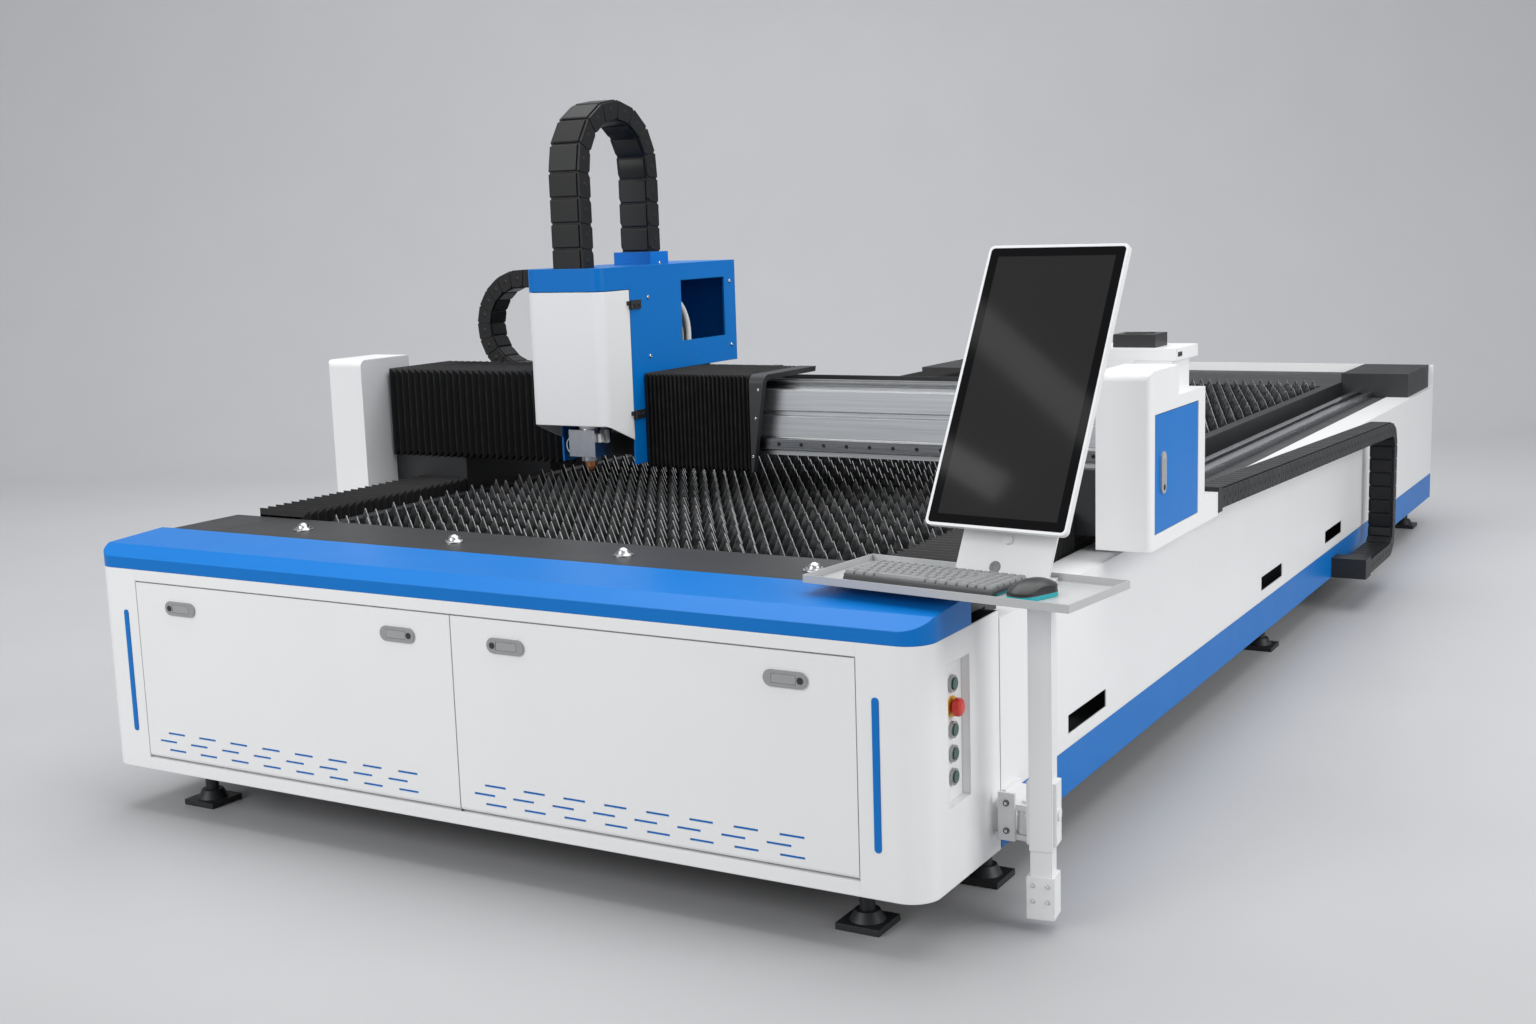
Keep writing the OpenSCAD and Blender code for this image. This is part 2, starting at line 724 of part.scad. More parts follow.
// Door pan between two x limits, with a rolled lower edge that turns on the hinge rod
module door_pan(x0, x1) {
    vent_x = x0 + 70;
    difference() {
        union() {
            box([x0, 0, hinge_z], [x1, door_sheet, door_top]);
            box([x0, 0, door_top - skin], [x1, door_depth, door_top]);
            for (x = [x0, x1 - skin]) box([x, 0, hinge_z], [x + skin, door_depth, door_top]);
            rod_x(x0, x1, hinge_y, hinge_z, hinge_y);
        }
        rod_x(x0 - 1, x1 + 1, hinge_y, hinge_z, hinge_rod_r + run_clear);
        for (row = [0:2]) for (i = [0:vent_columns - 1])
            box([vent_x + i * vent_pitch - (row == 1 ? 30 : 0), -1,
                vent_low + row * vent_rise - vent_height / 2],
                [vent_x + i * vent_pitch - (row == 1 ? 30 : 0) + vent_length, door_sheet + 1,
                    vent_low + row * vent_rise + vent_height / 2]);
    }
}

module front_door_left() color(white) {
    on_bed() door_pan(-door_reach, -door_in);
    for (i = [0, 1]) at_latch(i) latch_plate();
}

module front_door_right() color(white) {
    on_bed() door_pan(door_in, door_reach);
    for (i = [2, 3]) at_latch(i) latch_plate();
}

module vent_back(x0) color(blue) on_bed()
    box([x0 + 25, door_sheet + seam, vent_low - 6],
        [x0 + 85 + (vent_columns - 1) * vent_pitch + vent_length, door_sheet + seam + 1.5,
            vent_low + 2 * vent_rise + 6]);
module vent_back_left() vent_back(-door_reach);
module vent_back_right() vent_back(door_in);

module gantry_beam() color(steel) on_bed() along_x(-cover_in, cover_in) {
    f = x_beam_front;
    b = x_beam_back;
    polygon([
        [f, beam_z], [b, beam_z], [b, x_beam_top], [f, x_beam_top], [f, beam_z + 118], [f + 9,
            beam_z + 114],
        [f + 9, beam_z + 106], [f, beam_z + 102], [f, beam_z + 50], [f + 6, beam_z + 50], [f + 6,
            beam_z + 12],
        [f, beam_z + 12]
    ]);
}

module x_rails() color("lightgray") on_bed() {
    reach = cover_in - 20;
    along_x(-reach, reach) translate([x_beam_front + 6, x_rail_z + rail_w / 2]) rotate(90)
        rail_outline(rail_w, rail_h);
    along_x(-reach, reach) translate([x_beam_front + 54, x_beam_top]) rail_outline(rail_w, x_rail_d);
    box([-reach, x_beam_front + 90, x_beam_top], [reach, x_beam_front + 90 + rack_side, x_beam_top + 20]);
}

module gantry_saddles() color(black) on_bed() both_sides() difference() {
    union() {
        box([saddle_in, saddle_front, saddle_low], [cover_in, saddle_front + saddle_len, beam_z]);
        for (y = [30, saddle_len - 120])
            box([rail_x - 35, saddle_front + y, beam_top + 8], [rail_x + 35, saddle_front + y + 90,
                saddle_low + 1]);
    }
    box([rail_x - rail_w / 2 - slide_clear, saddle_front - 1, beam_top],
        [rail_x + rail_w / 2 + slide_clear, saddle_front + saddle_len + 1,
            beam_top + rail_h + slide_clear]);
}

// Side outline of an end cover, set in by its wall
module cover_side(i) {
    f = cover_front;
    low = i > 0 ? cover_low - 5 : cover_low;
    polygon([
        [f + i, low],
        each [for (a = [180:-15:90]) [f + 20 + (20 - i) * cos(a), cover_top - 20 + (20 - i) * sin(a)]],
        [f + cover_step[0] - i, cover_top - i],
        [f + cover_step[0] - i, cover_mid - i], [f + cover_step[1] - i, cover_mid - i],
        [f + cover_step[1] - i, cover_foot - i], [f + cover_step[2] - i, cover_foot - i],
            [f + cover_step[2] - i, low]
    ]);
}

module cover_form(i) {
    r = 12 - i;
    x1 = gantry_half - i;
    y0 = cover_front + i;
    intersection() {
        along_x(cover_in + i, x1) cover_side(i);
        linear_extrude(2 * cover_top) {
            translate([cover_in + i, y0]) square([x1 - r - cover_in - i, cover_step[2] - 2 * i]);
            translate([cover_in + i, y0 + r]) square([x1 - cover_in - i, cover_step[2] - 2 * i - r]);
            translate([x1 - r, y0 + r]) circle(r = r);
        }
    }
}

// Hinge line of the blue door
door_pin = [gantry_half - door_tube_r, door_y + cover_door_w - 1.5 - door_tube_r];

module gantry_covers() color(white) on_bed() {
    mirror([1, 0, 0]) difference() {
        cover_form(0);
        cover_form(cover_wall);
    }
    difference() {
        union() {
            difference() {
                cover_form(0);
                cover_form(cover_wall);
            }
            for (z = [door_z - 9, door_z + cover_door_h])
                box([gantry_half - 15, door_pin[1] - 9, z], [gantry_half - cover_wall / 2,
                    door_pin[1] + 9, z + 9]);
        }
        box([gantry_half - cover_wall - 1, door_y, door_z], [gantry_half + 5, door_y + cover_door_w,
            door_z + cover_door_h]);
    }
    translate([door_pin[0], door_pin[1], door_z]) cylinder(h = cover_door_h, r = door_rod_r);
    box([cover_in - 125, lid_y, x_beam_top], [cover_in - 5, x_beam_back - 5, cover_top]);
    box([cover_in - 6, lid_y + 1, cover_mid - 1], [gantry_half - 40, lid_y + 129, cover_top]);
    box([cover_in - 125, lid_y, cover_top + seam], [gantry_half - 32, lid_y + 175, cover_top + lid_h]);
}

fan_at = [cover_in - 15, lid_y + 72, cover_top + lid_h];
fan_box_h = 32;
module fan_box() color(black) on_bed() translate(fan_at) {
    difference() {
        box([-53, -47, 0], [53, 47, fan_box_h]);
        translate([0, 0, 4]) cylinder(h = 60, r = fan_r);
    }
    cylinder(h = 8, r = 12);
    for (a = [0, 90]) rotate([0, 0, a]) box([-fan_r - 2, -1.5, fan_box_h - 4], [fan_r + 2, 1.5, fan_box_h]);
    translate([0, 0, fan_box_h - 4]) difference() {
        cylinder(h = 4, r = 24);
        translate([0, 0, -1]) cylinder(h = 6, r = 21);
    }
}

module fan_rotor() color("dimgray") on_bed() translate(fan_at) {
    translate([0, 0, 8 + slide_clear]) cylinder(h = 18, r = 14);
    for (i = [0:6]) rotate([0, 0, i * 360 / 7]) translate([13, 0, 17]) rotate([38, 0, 0])
        box([0, -9, -0.8], [fan_r - 16, 9, 0.8]);
}

// Handle plate and paddle of the blue door, turned upright on its outer face
module at_cover_handle() {
    on_bed() translate([gantry_half, door_y + 57, door_z + cover_door_h / 2]) rotate([0, 0,
        90]) rotate([0, 90, 0])
        children();
}

module cover_door() color(blue) {
    on_bed() {
        difference() {
            union() {
                box([gantry_half - cover_wall, door_y + 1.5, door_z + 1.5],
                    [gantry_half, door_pin[1], door_z + cover_door_h - 1.5]);
                box([gantry_half - 12, door_y + 1.5, door_z + 1.5],
                    [gantry_half, door_y + 1.5 + skin, door_z + cover_door_h - 1.5]);
                for (z = [door_z + 1.5, door_z + cover_door_h - 1.5 - skin])
                    box([gantry_half - 12, door_y + 1.5, z], [gantry_half, door_pin[1], z + skin]);
                translate([door_pin[0], door_pin[1], door_z + 1.5])
                    cylinder(h = cover_door_h - 3, r = door_tube_r);
            }
            translate([door_pin[0], door_pin[1], door_z]) cylinder(h = cover_door_h,
                r = door_rod_r + run_clear);
        }
    }
    at_cover_handle() latch_plate();
}

module cover_handle() color("gray") at_cover_handle() latch_paddle_form();

module y_motors() color(black) on_bed() both_sides() translate([cover_in - 60,
    saddle_front + saddle_len - 70, beam_z]) {
    box([-45, -45, 0], [45, 45, 10]);
    box([-40, -40, 9], [40, 40, 135]);
    translate([0, 0, 90]) box([38, -20, 0], [52, 20, 30]);
}

module x_chain_tray() color(black) on_bed() {
    reach = cover_in - 5;
    chain_back = beam_chain_y + beam_chain_w + 15;
    along_x(-reach, reach) polygon([
        [x_beam_back, beam_tray_z], [chain_back, beam_tray_z], [chain_back, beam_tray_z + 30],
        [chain_back - sheet, beam_tray_z + 30], [chain_back - sheet, beam_tray_z + sheet], [x_beam_back,
            beam_tray_z + sheet]
    ]);
    box([beam_chain_end, beam_chain_y, beam_tray_z + sheet + seam],
        [beam_chain_end + 30, beam_chain_y + beam_chain_w, low_run + link_h / 2]);
    box([half_w, long_start - 35 + seam, long_high - link_h / 2 - 4],
        [long_chain_x + long_chain_w, long_start, long_high + link_h / 2 + 8]);
}

module x_chain() color(black) on_bed() {
    r = (high_run - low_run) / 2;
    along_y(beam_chain_y, beam_chain_y + beam_chain_w)
        chain_outline([[beam_chain_end - beam_bend_x, 0], [PI * r, -180],
            [head_left - slide_clear - beam_bend_x, 0]],
            [beam_chain_end - slide_clear, low_run], 180, 46);
}

module y_chain() color(black) on_bed() {
    r = long_bend_r;
    along_x(long_chain_x, long_chain_x + long_chain_w)
        chain_outline([
            [(long_bend_y - long_start - long_gap) / cos(long_fall), 0],
            [r * (90 - long_fall) * PI / 180, long_fall - 90],
            [long_high - long_drop - long_low - r * (1 + cos(long_fall)), 0],
            [r * PI / 2, -90],
            [long_bend_y - r * sin(long_fall) - long_anchor - slide_clear, 0]
        ], [long_start + long_gap, long_high - long_gap * tan(long_fall)], -long_fall, 50);
}

module z_chain() color(black) on_bed() {
    r = (head_leg_back - head_leg_y) / 2;
    along_x(head_chain_x - head_chain_w / 2, head_chain_x + head_chain_w / 2)
        chain_outline([[head_bend_z - head_chain_start - slide_clear, 0], [PI * r, -180],
            [head_bend_z - bracket_top - seam, 0]],
            [head_leg_y, head_chain_start + slide_clear], 90, 66);
}

module y_bellows() color(black) on_bed() {
    front_len = saddle_front - table_y - 2 * slide_clear;
    rear_start = saddle_front + saddle_len + slide_clear;
    rear_len = bed_length - 470 - rear_start - slide_clear;
    both_sides() translate([0, table_y + slide_clear, 0]) folded_sheet(front_len, 15, y_section);
    mirror([1, 0, 0]) translate([0, rear_start, 0]) folded_sheet(rear_len, 70, y_section);
}

// Bellows round the beam between two x limits
module beam_bellows(x0, x1, folds) {
    translate([x0, 0, 0]) rotate([0, 0, -90]) mirror([1, 0, 0]) folded_sheet(x1 - x0, folds, x_section);
}

module x_bellows_left() color(black) on_bed()
    beam_bellows(-cover_in + slide_clear, head_left - slide_clear, 16);

module x_bellows_right() color(black) on_bed() {
    plate_x = head_right + 330;
    beam_bellows(head_right + seam, plate_x - seam, 12);
    intersection() {
        along_x(plate_x, plate_x + 60) polygon([
            [bellows_front - fold_depth - 2, bellows_low - fold_depth], [bellows_front + 2,
                bellows_low - fold_depth],
            [bellows_front + 2, bellows_top], [x_beam_back - 20, bellows_top],
            [x_beam_back - 20, bellows_top + fold_depth], [bellows_front - fold_depth - 2,
                bellows_top + fold_depth]
        ]);
        along_y(gantry_front - 50, x_beam_back) polygon([
            [plate_x, bellows_low - fold_depth], [plate_x + 6, bellows_low - fold_depth],
            [plate_x + 46, bellows_top + fold_depth], [plate_x, bellows_top + fold_depth]
        ]);
    }
}

module head_side(x0) {
    along_x(x0, x0 + plate_t) polygon([
        [leg_y, beam_z - 28], [leg_y + leg_d, beam_z - 28], [leg_y + leg_d, housing_low], [head_back,
            housing_low],
        [head_back, head_top - plate_t - seam], [leg_y, head_top - plate_t - seam]
    ]);
}

module head_housing() color(blue) on_bed() {
    window = [[1281, 1086], [1510, 1253]];
    head_side(head_left);
    difference() {
        head_side(head_right - plate_t);
        box([head_right - 20, window[0][0], window[0][1]], [head_right + 5, window[1][0], window[1][1]]);
    }
    box([head_left + plate_t + seam, head_back - plate_t, housing_low],
        [head_right - plate_t - seam, head_back, head_top - plate_t - seam]);
    difference() {
        union() {
            translate([0, 0, hood_low]) linear_extrude(head_top - hood_low) difference() {
                round_front_plan(head_left, head_right, head_front, leg_y - seam, head_corner_r);
                round_front_plan(head_left + 4, head_right - 4, head_front + 4, leg_y + 5,
                    head_corner_r - 4);
            }
            translate([0, 0, head_top - plate_t]) linear_extrude(plate_t)
                round_front_plan(head_left, head_right, head_front, head_back, head_corner_r);
        }
        box([head_chain_x - head_chain_w / 2 - 5, head_front + 6, hood_low - 1],
            [head_chain_x + head_chain_w / 2 + 5, head_leg_y + link_h / 2 + 5, head_top + 1]);
    }
    box([head_chain_x - 60, head_leg_back - 45, head_top + seam], [head_chain_x + 60, head_leg_back + 45,
        bracket_top]);
}

// Guide block on a rail that runs along x, open towards the rail
module carriage_plate() color("#3d4145") on_bed() {
    inner = head_half - plate_t - seam;
    shelf_z = x_beam_top + 38;
    difference() {
        union() {
            box([head_x - inner, carriage_front, beam_z - 10], [head_x + inner, carriage_back,
                hood_low - 5]);
            box([head_x - inner, carriage_back - 1, shelf_z], [head_x + inner, 1430, shelf_z + 10]);
            for (x = [-100, 10]) {
                box([head_x + x, carriage_back - 1, x_rail_z - 17], [head_x + x + 90, x_beam_front - 5,
                    x_rail_z + 45]);
                box([head_x + x, x_beam_front + 34, x_beam_top + 5], [head_x + x + 90, x_beam_front + 74,
                    shelf_z + 1]);
            }
        }
        box([head_x - 200, x_beam_front + 6 - rail_h - slide_clear, x_rail_z - slide_clear],
            [head_x + 200, x_beam_front + 20, x_rail_z + rail_w + slide_clear]);
        box([head_x - 200, x_beam_front + 54 - rail_w / 2 - slide_clear, x_beam_top],
            [head_x + 200, x_beam_front + 54 + rail_w / 2 + slide_clear,
                x_beam_top + x_rail_d + slide_clear]);
    }
    for (z = hinge_leaf_zs) {
        box([head_right, head_pin_y + 6, z - 12], [head_right + 5, head_pin_y + 48, z + 12]);
        for (y = [18, 38]) rod_x(head_right + 4, head_right + 7.5, head_pin_y + y, z, 4.5);
        translate([head_pin_x, head_pin_y, z - 11]) cylinder(h = 10.5, r = 5);
        box([head_right, head_pin_y, z - 11], [head_right + 4.5, head_pin_y + 7, z - 0.5]);
        translate([head_pin_x, head_pin_y, z - 2]) cylinder(h = 13, r = 2);
    }
}

module cover_hinge_leaves() color(black) on_bed() for (z = hinge_leaf_zs) difference() {
    union() {
        translate([head_pin_x, head_pin_y, z - 0.5 + slide_clear]) cylinder(h = 11.2, r = 5);
        box([head_right + seam, head_pin_y - 14, z - 0.5 + slide_clear], [head_right + 5, head_pin_y,
            z + 10.2]);
    }
    translate([head_pin_x, head_pin_y, z - 5]) cylinder(h = 30, r = 2 + run_clear);
}

module head_cover() color(white) on_bed() difference() {
    translate([0, 0, cover_edge[1]]) linear_extrude(hood_low - 1.5 - cover_edge[1]) difference() {
        round_front_plan(head_left, head_right, head_front, leg_y - 2, head_corner_r);
        round_front_plan(head_left + cover_wall, head_right - cover_wall, head_front + cover_wall,
            leg_y + 5,
            head_corner_r - cover_wall);
    }
    along_x(head_left - 5, head_right + 5) polygon([
        [head_front - 9, cover_edge[1] - 9], [leg_y + 1, cover_edge[1] - 9], [leg_y + 1, cover_edge[1]],
        [head_front + 9, cover_edge[0]], [head_front - 9, cover_edge[0]]
    ]);
}

module head_motors() color("#202224") on_bed() {
    box([head_x - 36, carriage_front - 72, 1112], [head_x + 36, carriage_front, 1225]);
    translate([head_x, carriage_front - 36, 1105]) cylinder(h = 8, r = 25);
    box([head_x - 45, 1180, x_beam_top + 48], [head_x + 45, 1270, x_beam_top + 60]);
    box([head_x - 40, 1185, x_beam_top + 59], [head_x + 40, 1270, 1236]);
}

module head_hose() color("ghostwhite") on_bed() {
    r = 110;
    tube = 9;
    hose_x = head_right - 55;
    bend_y = 1285;
    bend_z = 1100;
    translate([hose_x, bend_y, bend_z]) rotate([90, 0, 90]) rotate_extrude(angle = 90) translate([r, 0])
        circle(r = tube);
    translate([hose_x, bend_y + r, x_beam_top + 48]) cylinder(h = bend_z - x_beam_top - 48, r = tube);
    translate([hose_x, 1270 + seam, bend_z + r]) rotate([-90, 0, 0]) cylinder(h = bend_y - 1270 - seam,
        r = tube);
}

block_x = head_x + 10;
module cutting_head() color(steel) on_bed() {
    face = carriage_front - slide_clear;
    box([head_x - 60, face - 26, 850], [head_x + 60, face, 1050]);
    box([block_x - 40, head_leg_y - 15, 1000], [block_x + 40, face - 25, 1045]);
    box([block_x - 40, head_leg_y - 15, 1000], [block_x + 40, head_leg_y + 15, head_chain_start]);
    box([block_x - 34, 945, 890], [block_x + 34, face - 25, 1001]);
    box([block_x - 42, 938, 800], [block_x + 42, 1016, 872]);
    translate([block_x, 977, 871]) cylinder(h = 20, r = 30);
    translate([block_x, 977, 786]) cylinder(h = 15, r = 26);
}

module nozzle() color("peru") on_bed() translate([block_x, 977, 0]) rotate_extrude() polygon([
    [0, nozzle_tip], [4, nozzle_tip], [9, nozzle_tip + 11], [9, nozzle_tip + 14], [17, nozzle_tip + 17],
    [17, 786], [0, 786]
]);

module sensor_lead() color("white") on_bed()
    translate([block_x - 42 - seam, 960, 827]) rotate([90, 0, 0]) rotate([0, 0, 90])
        rotate_extrude(angle = 180) translate([24, 0]) circle(r = 1.5);

// Fixed half of the console's hinge, bolted to the bed's side wall, with the hinge pin
module arm_bracket() color(white) on_bed() {
    ear_y = [pin_y - 20, bed_front + 90];
    box([half_w, bed_front + 5, 148], [half_w + 8, bed_front + 95, 242]);
    difference() {
        for (z = [158, 220]) box([half_w + 7, ear_y[0], z], [pin_x + 20, ear_y[1], z + 12]);
        translate([pin_x, pin_y, 100]) cylinder(h = 200, r = 8);
    }
    translate([pin_x, pin_y, 152]) cylinder(h = 86, r = 8 - run_clear / 2);
    box([pin_x - 51, pin_y - 26, 156], [pin_x - 15, pin_y - 19, 256]);
    for (z = [177, 235]) translate([pin_x - 33, pin_y - 25, z]) rotate([90, 0, 0]) cylinder(h = 5, r = 6);
    for (z = [168, 222]) translate([half_w + 8, bed_front + 80, z]) rotate([0, 90, 0]) cylinder(h = 6,
        r = 8, $fn = 6);
}

column_at = [67, -54];
column_turn = 15;
module console_column() color(white) on_console() {
    h = column_side / 2;
    difference() {
        union() {
            translate([column_at[0], column_at[1], 0]) {
                rotate([0, 0, column_turn]) {
                    box([-h, -h, 166], [h, h, tray_z - 7]);
                    box([-h + 1.5, -h + 1.5, 90], [h - 1.5, h - 1.5, 168]);
                    box([-h - 5, -h - 5, 27], [h + 5, h + 5, 114]);
                    box([-h - 7, -h + 8, 176], [h + 7, h + 7, 304]);
                    rod_x(h + 6, h + 11, 4, 238, 13);
                    for (x = [-15, 15]) for (z = [65, 97])
                        translate([x, -h - 4, z]) rotate([90, 0, 0]) cylinder(h = 3, r = 4);
                }
                box([-70, -60, tray_z - 8], [70, 40, tray_z - 2]);
            }
            translate([0, 0, 170 + slide_clear]) cylinder(h = 50 - 2 * slide_clear, r = 18);
            rotate([0, 0, -39]) box([9, -13, 178], [72, 13, 214]);
        }
        translate([0, 0, 100]) cylinder(h = 200, r = 8 + run_clear / 2);
    }
}

module console_tray() color(white) on_console() {
    left = tray_right - tray_w;
    front = -7 - tray_d;
    difference() {
        box([left, front, tray_z - skin], [tray_right, -7, tray_z + tray_lip]);
        box([left + skin, front + skin, tray_z], [tray_right - skin, -7 - skin, tray_z + tray_lip + 1]);
    }
}

// Pivot of the screen, in its own frame
tilt_y = screen_t + 22;
tilt_z = 150;
module monitor_stand() color("gainsboro") {
    on_screen() {
        box([-105, tilt_y + 10, -74], [105, tilt_y + 14, tilt_z + 20]);
        for (x = [-62, 54]) box([x, tilt_y - 14, tilt_z - 16], [x + 8, tilt_y + 11, tilt_z + 16]);
        rod_x(-64, 64, tilt_y, tilt_z, 6 - run_clear / 2);
        translate([0, tilt_y + 11, 0]) rotate([90, 0, 0]) cylinder(h = 9, r = 9);
    }
    on_console() difference() {
        box([screen_base[0] - 110, -46, tray_z], [screen_base[0] + 110, -10, tray_z + 5]);
        for (x = [-80, 80]) translate([screen_base[0] + x, -22, tray_z - 1]) cylinder(h = 9, r = 4);
    }
}

module keyboard() color("dimgray") on_console() translate([-124, -132, tray_z]) rotate([0, 0, -1]) {
    box([-175, -70, 0], [175, 68, 12]);
    for (row = [0:5]) for (k = [0:17])
        box([-171 + k * 19, -66 + row * 22, 12 - 1], [-155 + k * 19, -48 + row * 22, 19]);
}

module mouse() color(black) on_console() translate([110, -170, tray_z]) rotate([0, 0, -14]) {
    linear_extrude(9) rotate(90) stadium(112, 62);
    intersection() {
        translate([0, 0, 8]) linear_extrude(40) rotate(90) stadium(110, 60);
        translate([0, 4, -8]) scale([1, 1.6, 1]) sphere(r = 44);
    }
}

module monitor_frame() color(white) on_screen() difference() {
    union() {
        rotate([-90, 0, 0]) linear_extrude(12) translate([-screen_w / 2,
            -screen_h]) rounded_plate(screen_w, screen_h, 12);
        translate([0, 11, 0]) rotate([-90, 0, 0]) linear_extrude(screen_t - 11)
            translate([-screen_w / 2 + 30, -screen_h + 60]) rounded_plate(screen_w - 60, screen_h - 120,
                30);
        box([-40, screen_t - 1, tilt_z - 12], [40, tilt_y - 4, tilt_z + 12]);
        rod_x(-53, 53, tilt_y, tilt_z, 9.4);
    }
    rod_x(-70, 70, tilt_y, tilt_z, 6 + run_clear / 2);
    translate([0, -1, 0]) rotate([-90, 0, 0]) linear_extrude(4)
        translate([-screen_w / 2 + 6, -screen_h + 6]) rounded_plate(screen_w - 12, screen_h - 12, 8);
}

module rounded_plate(w, h, r) {
    translate([r, 0]) square([w - 2 * r, h]);
    translate([0, r]) square([w, h - 2 * r]);
    for (x = [r, w - r]) for (y = [r, h - r]) translate([x, y]) circle(r = r);
}

module monitor_glass() color("#0d0e10") on_screen()
    rotate([-90, 0, 0]) linear_extrude(3 - seam)
        translate([-screen_w / 2 + 6 + seam, -screen_h + 6 + seam])
            rounded_plate(screen_w - 12 - 2 * seam, screen_h - 12 - 2 * seam, 8 - seam);

bed_frame();
wall_panels();
blue_skirts();
levelling_feet();
cabinet_shell();
cabinet_lining();
cabinet_equipment();
front_cap();
rim_plates();
ball_transfers();
table_sides();
slats();
y_rails();
button_bezels();
arm_bracket();
y_chain();
y_bellows();
front_door_left();
front_door_right();
vent_back_left();
vent_back_right();
latch_paddle_1();
latch_paddle_2();
latch_paddle_3();
latch_paddle_4();
push_button_1();
push_button_2();
push_button_3();
push_button_4();
emergency_button();
gantry_beam();
x_rails();
gantry_saddles();
gantry_covers();
fan_box();
fan_rotor();
cover_door();
cover_handle();
y_motors();
x_chain_tray();
x_chain();
x_bellows_left();
head_housing();
carriage_plate();
head_motors();
x_bellows_right();
head_hose();
z_chain();
head_cover();
cover_hinge_leaves();
cutting_head();
nozzle();
sensor_lead();
console_column();
console_tray();
monitor_stand();
keyboard();
mouse();
monitor_frame();
monitor_glass();
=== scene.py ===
import math

import bmesh
import bpy
from mathutils import Matrix, Vector


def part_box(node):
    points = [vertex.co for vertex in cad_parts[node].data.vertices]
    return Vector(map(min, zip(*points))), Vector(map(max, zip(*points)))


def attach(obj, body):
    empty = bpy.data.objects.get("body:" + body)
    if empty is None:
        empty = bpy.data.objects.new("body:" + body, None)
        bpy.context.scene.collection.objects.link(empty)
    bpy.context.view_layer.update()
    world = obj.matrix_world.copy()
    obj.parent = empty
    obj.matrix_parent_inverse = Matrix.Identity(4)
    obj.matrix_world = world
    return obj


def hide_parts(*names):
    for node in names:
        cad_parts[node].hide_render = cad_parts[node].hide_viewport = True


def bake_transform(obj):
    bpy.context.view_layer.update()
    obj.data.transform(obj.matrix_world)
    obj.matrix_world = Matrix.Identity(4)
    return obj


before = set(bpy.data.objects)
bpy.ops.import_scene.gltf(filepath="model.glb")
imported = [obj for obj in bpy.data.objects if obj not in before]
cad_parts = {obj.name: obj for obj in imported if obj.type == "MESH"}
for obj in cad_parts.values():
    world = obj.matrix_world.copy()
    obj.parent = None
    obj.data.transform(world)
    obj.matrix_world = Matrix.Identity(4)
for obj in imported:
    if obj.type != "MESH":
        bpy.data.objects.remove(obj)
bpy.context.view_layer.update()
print("frame loaded")

capLow, capHigh = (Vector(p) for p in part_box("front_cap"))
midX = (capLow.x + capHigh.x) / 2  # the machine's centre line
frontY = capLow.y  # the cabinet's front


# A place measured from the middle of the cabinet's front, on the floor
def at(x, y, z):
    return Vector((midX + x, frontY + y, z))


# Camera, at the photograph's stand
cameraLook = {
    "place": (2.4855, -2.8918, 1.4060),
    "yaw": 30.184,  # turned left of straight ahead
    "pitch": -9.288,
    "roll": -1.817,
    "lens": 41.627,
    "sensor": 36,
    "sight": 100,
}


def addCamera(look):
    data = bpy.data.cameras.new("camera")
    data.lens = look["lens"]
    data.sensor_width = look["sensor"]
    data.clip_end = look["sight"]
    cam = bpy.data.objects.new("camera", data)
    bpy.context.scene.collection.objects.link(cam)
    turn = Matrix.Rotation(math.radians(look["yaw"]), 4, "Z")
    tip = Matrix.Rotation(math.radians(90 + look["pitch"]), 4, "X")
    roll = Matrix.Rotation(math.radians(look["roll"]), 4, "Z")
    cam.matrix_world = Matrix.Translation(at(*look["place"])) @ turn @ tip @ roll
    bpy.context.scene.camera = cam


addCamera(cameraLook)
print("camera set")


# Shader node groups: each gives only colours, masks, values and normals
def newGroup(name, inputs, outputs):
    tree = bpy.data.node_groups.new(name, "ShaderNodeTree")
    for label, kind, value in inputs:
        socket = tree.interface.new_socket(name=label, in_out="INPUT", socket_type="NodeSocket" + kind)
        socket.default_value = value
    for label, kind in outputs:
        tree.interface.new_socket(name=label, in_out="OUTPUT", socket_type="NodeSocket" + kind)
    return tree, tree.nodes.new("NodeGroupInput").outputs, tree.nodes.new("NodeGroupOutput").inputs


# Link another node's output, or set a plain value
def feed(tree, socket, given):
    if isinstance(given, bpy.types.NodeSocket):
        tree.links.new(given, socket)
    else:
        socket.default_value = given


def combine(tree, kind, a, b, clamp=False):
    node = tree.nodes.new("ShaderNodeMath")
    node.operation = kind
    node.use_clamp = clamp
    feed(tree, node.inputs[0], a)
    feed(tree, node.inputs[1], b)
    return node.outputs[0]


def combineVectors(tree, kind, a, b):
    node = tree.nodes.new("ShaderNodeVectorMath")
    node.operation = kind
    feed(tree, node.inputs[0], a)
    feed(tree, node.inputs["Scale" if kind == "SCALE" else 1], b)
    return node.outputs["Value" if kind == "DOT_PRODUCT" else "Vector"]


def span(tree, value, low, high, toLow=0, toHigh=1):
    node = tree.nodes.new("ShaderNodeMapRange")
    for socket, given in zip(node.inputs, (value, low, high, toLow, toHigh)):
        feed(tree, socket, given)
    return node.outputs[0]


def mixColor(tree, factor, a, b):
    node = tree.nodes.new("ShaderNodeMix")
    node.data_type = "RGBA"
    feed(tree, node.inputs[0], factor)
    feed(tree, node.inputs[6], a)  # sockets 6 and 7 are the two colours
    feed(tree, node.inputs[7], b)
    return node.outputs[2]


def ownPlace(tree):
    return tree.nodes.new("ShaderNodeTexCoord").outputs["Object"]


noiseMiddle = 0.5


def noise(tree, scale, detail, vector=None):
    node = tree.nodes.new("ShaderNodeTexNoise")
    node.inputs["Detail"].default_value = detail
    feed(tree, node.inputs["Scale"], scale)
    tree.links.new(ownPlace(tree) if vector is None else vector, node.inputs["Vector"])
    return node.outputs[0]


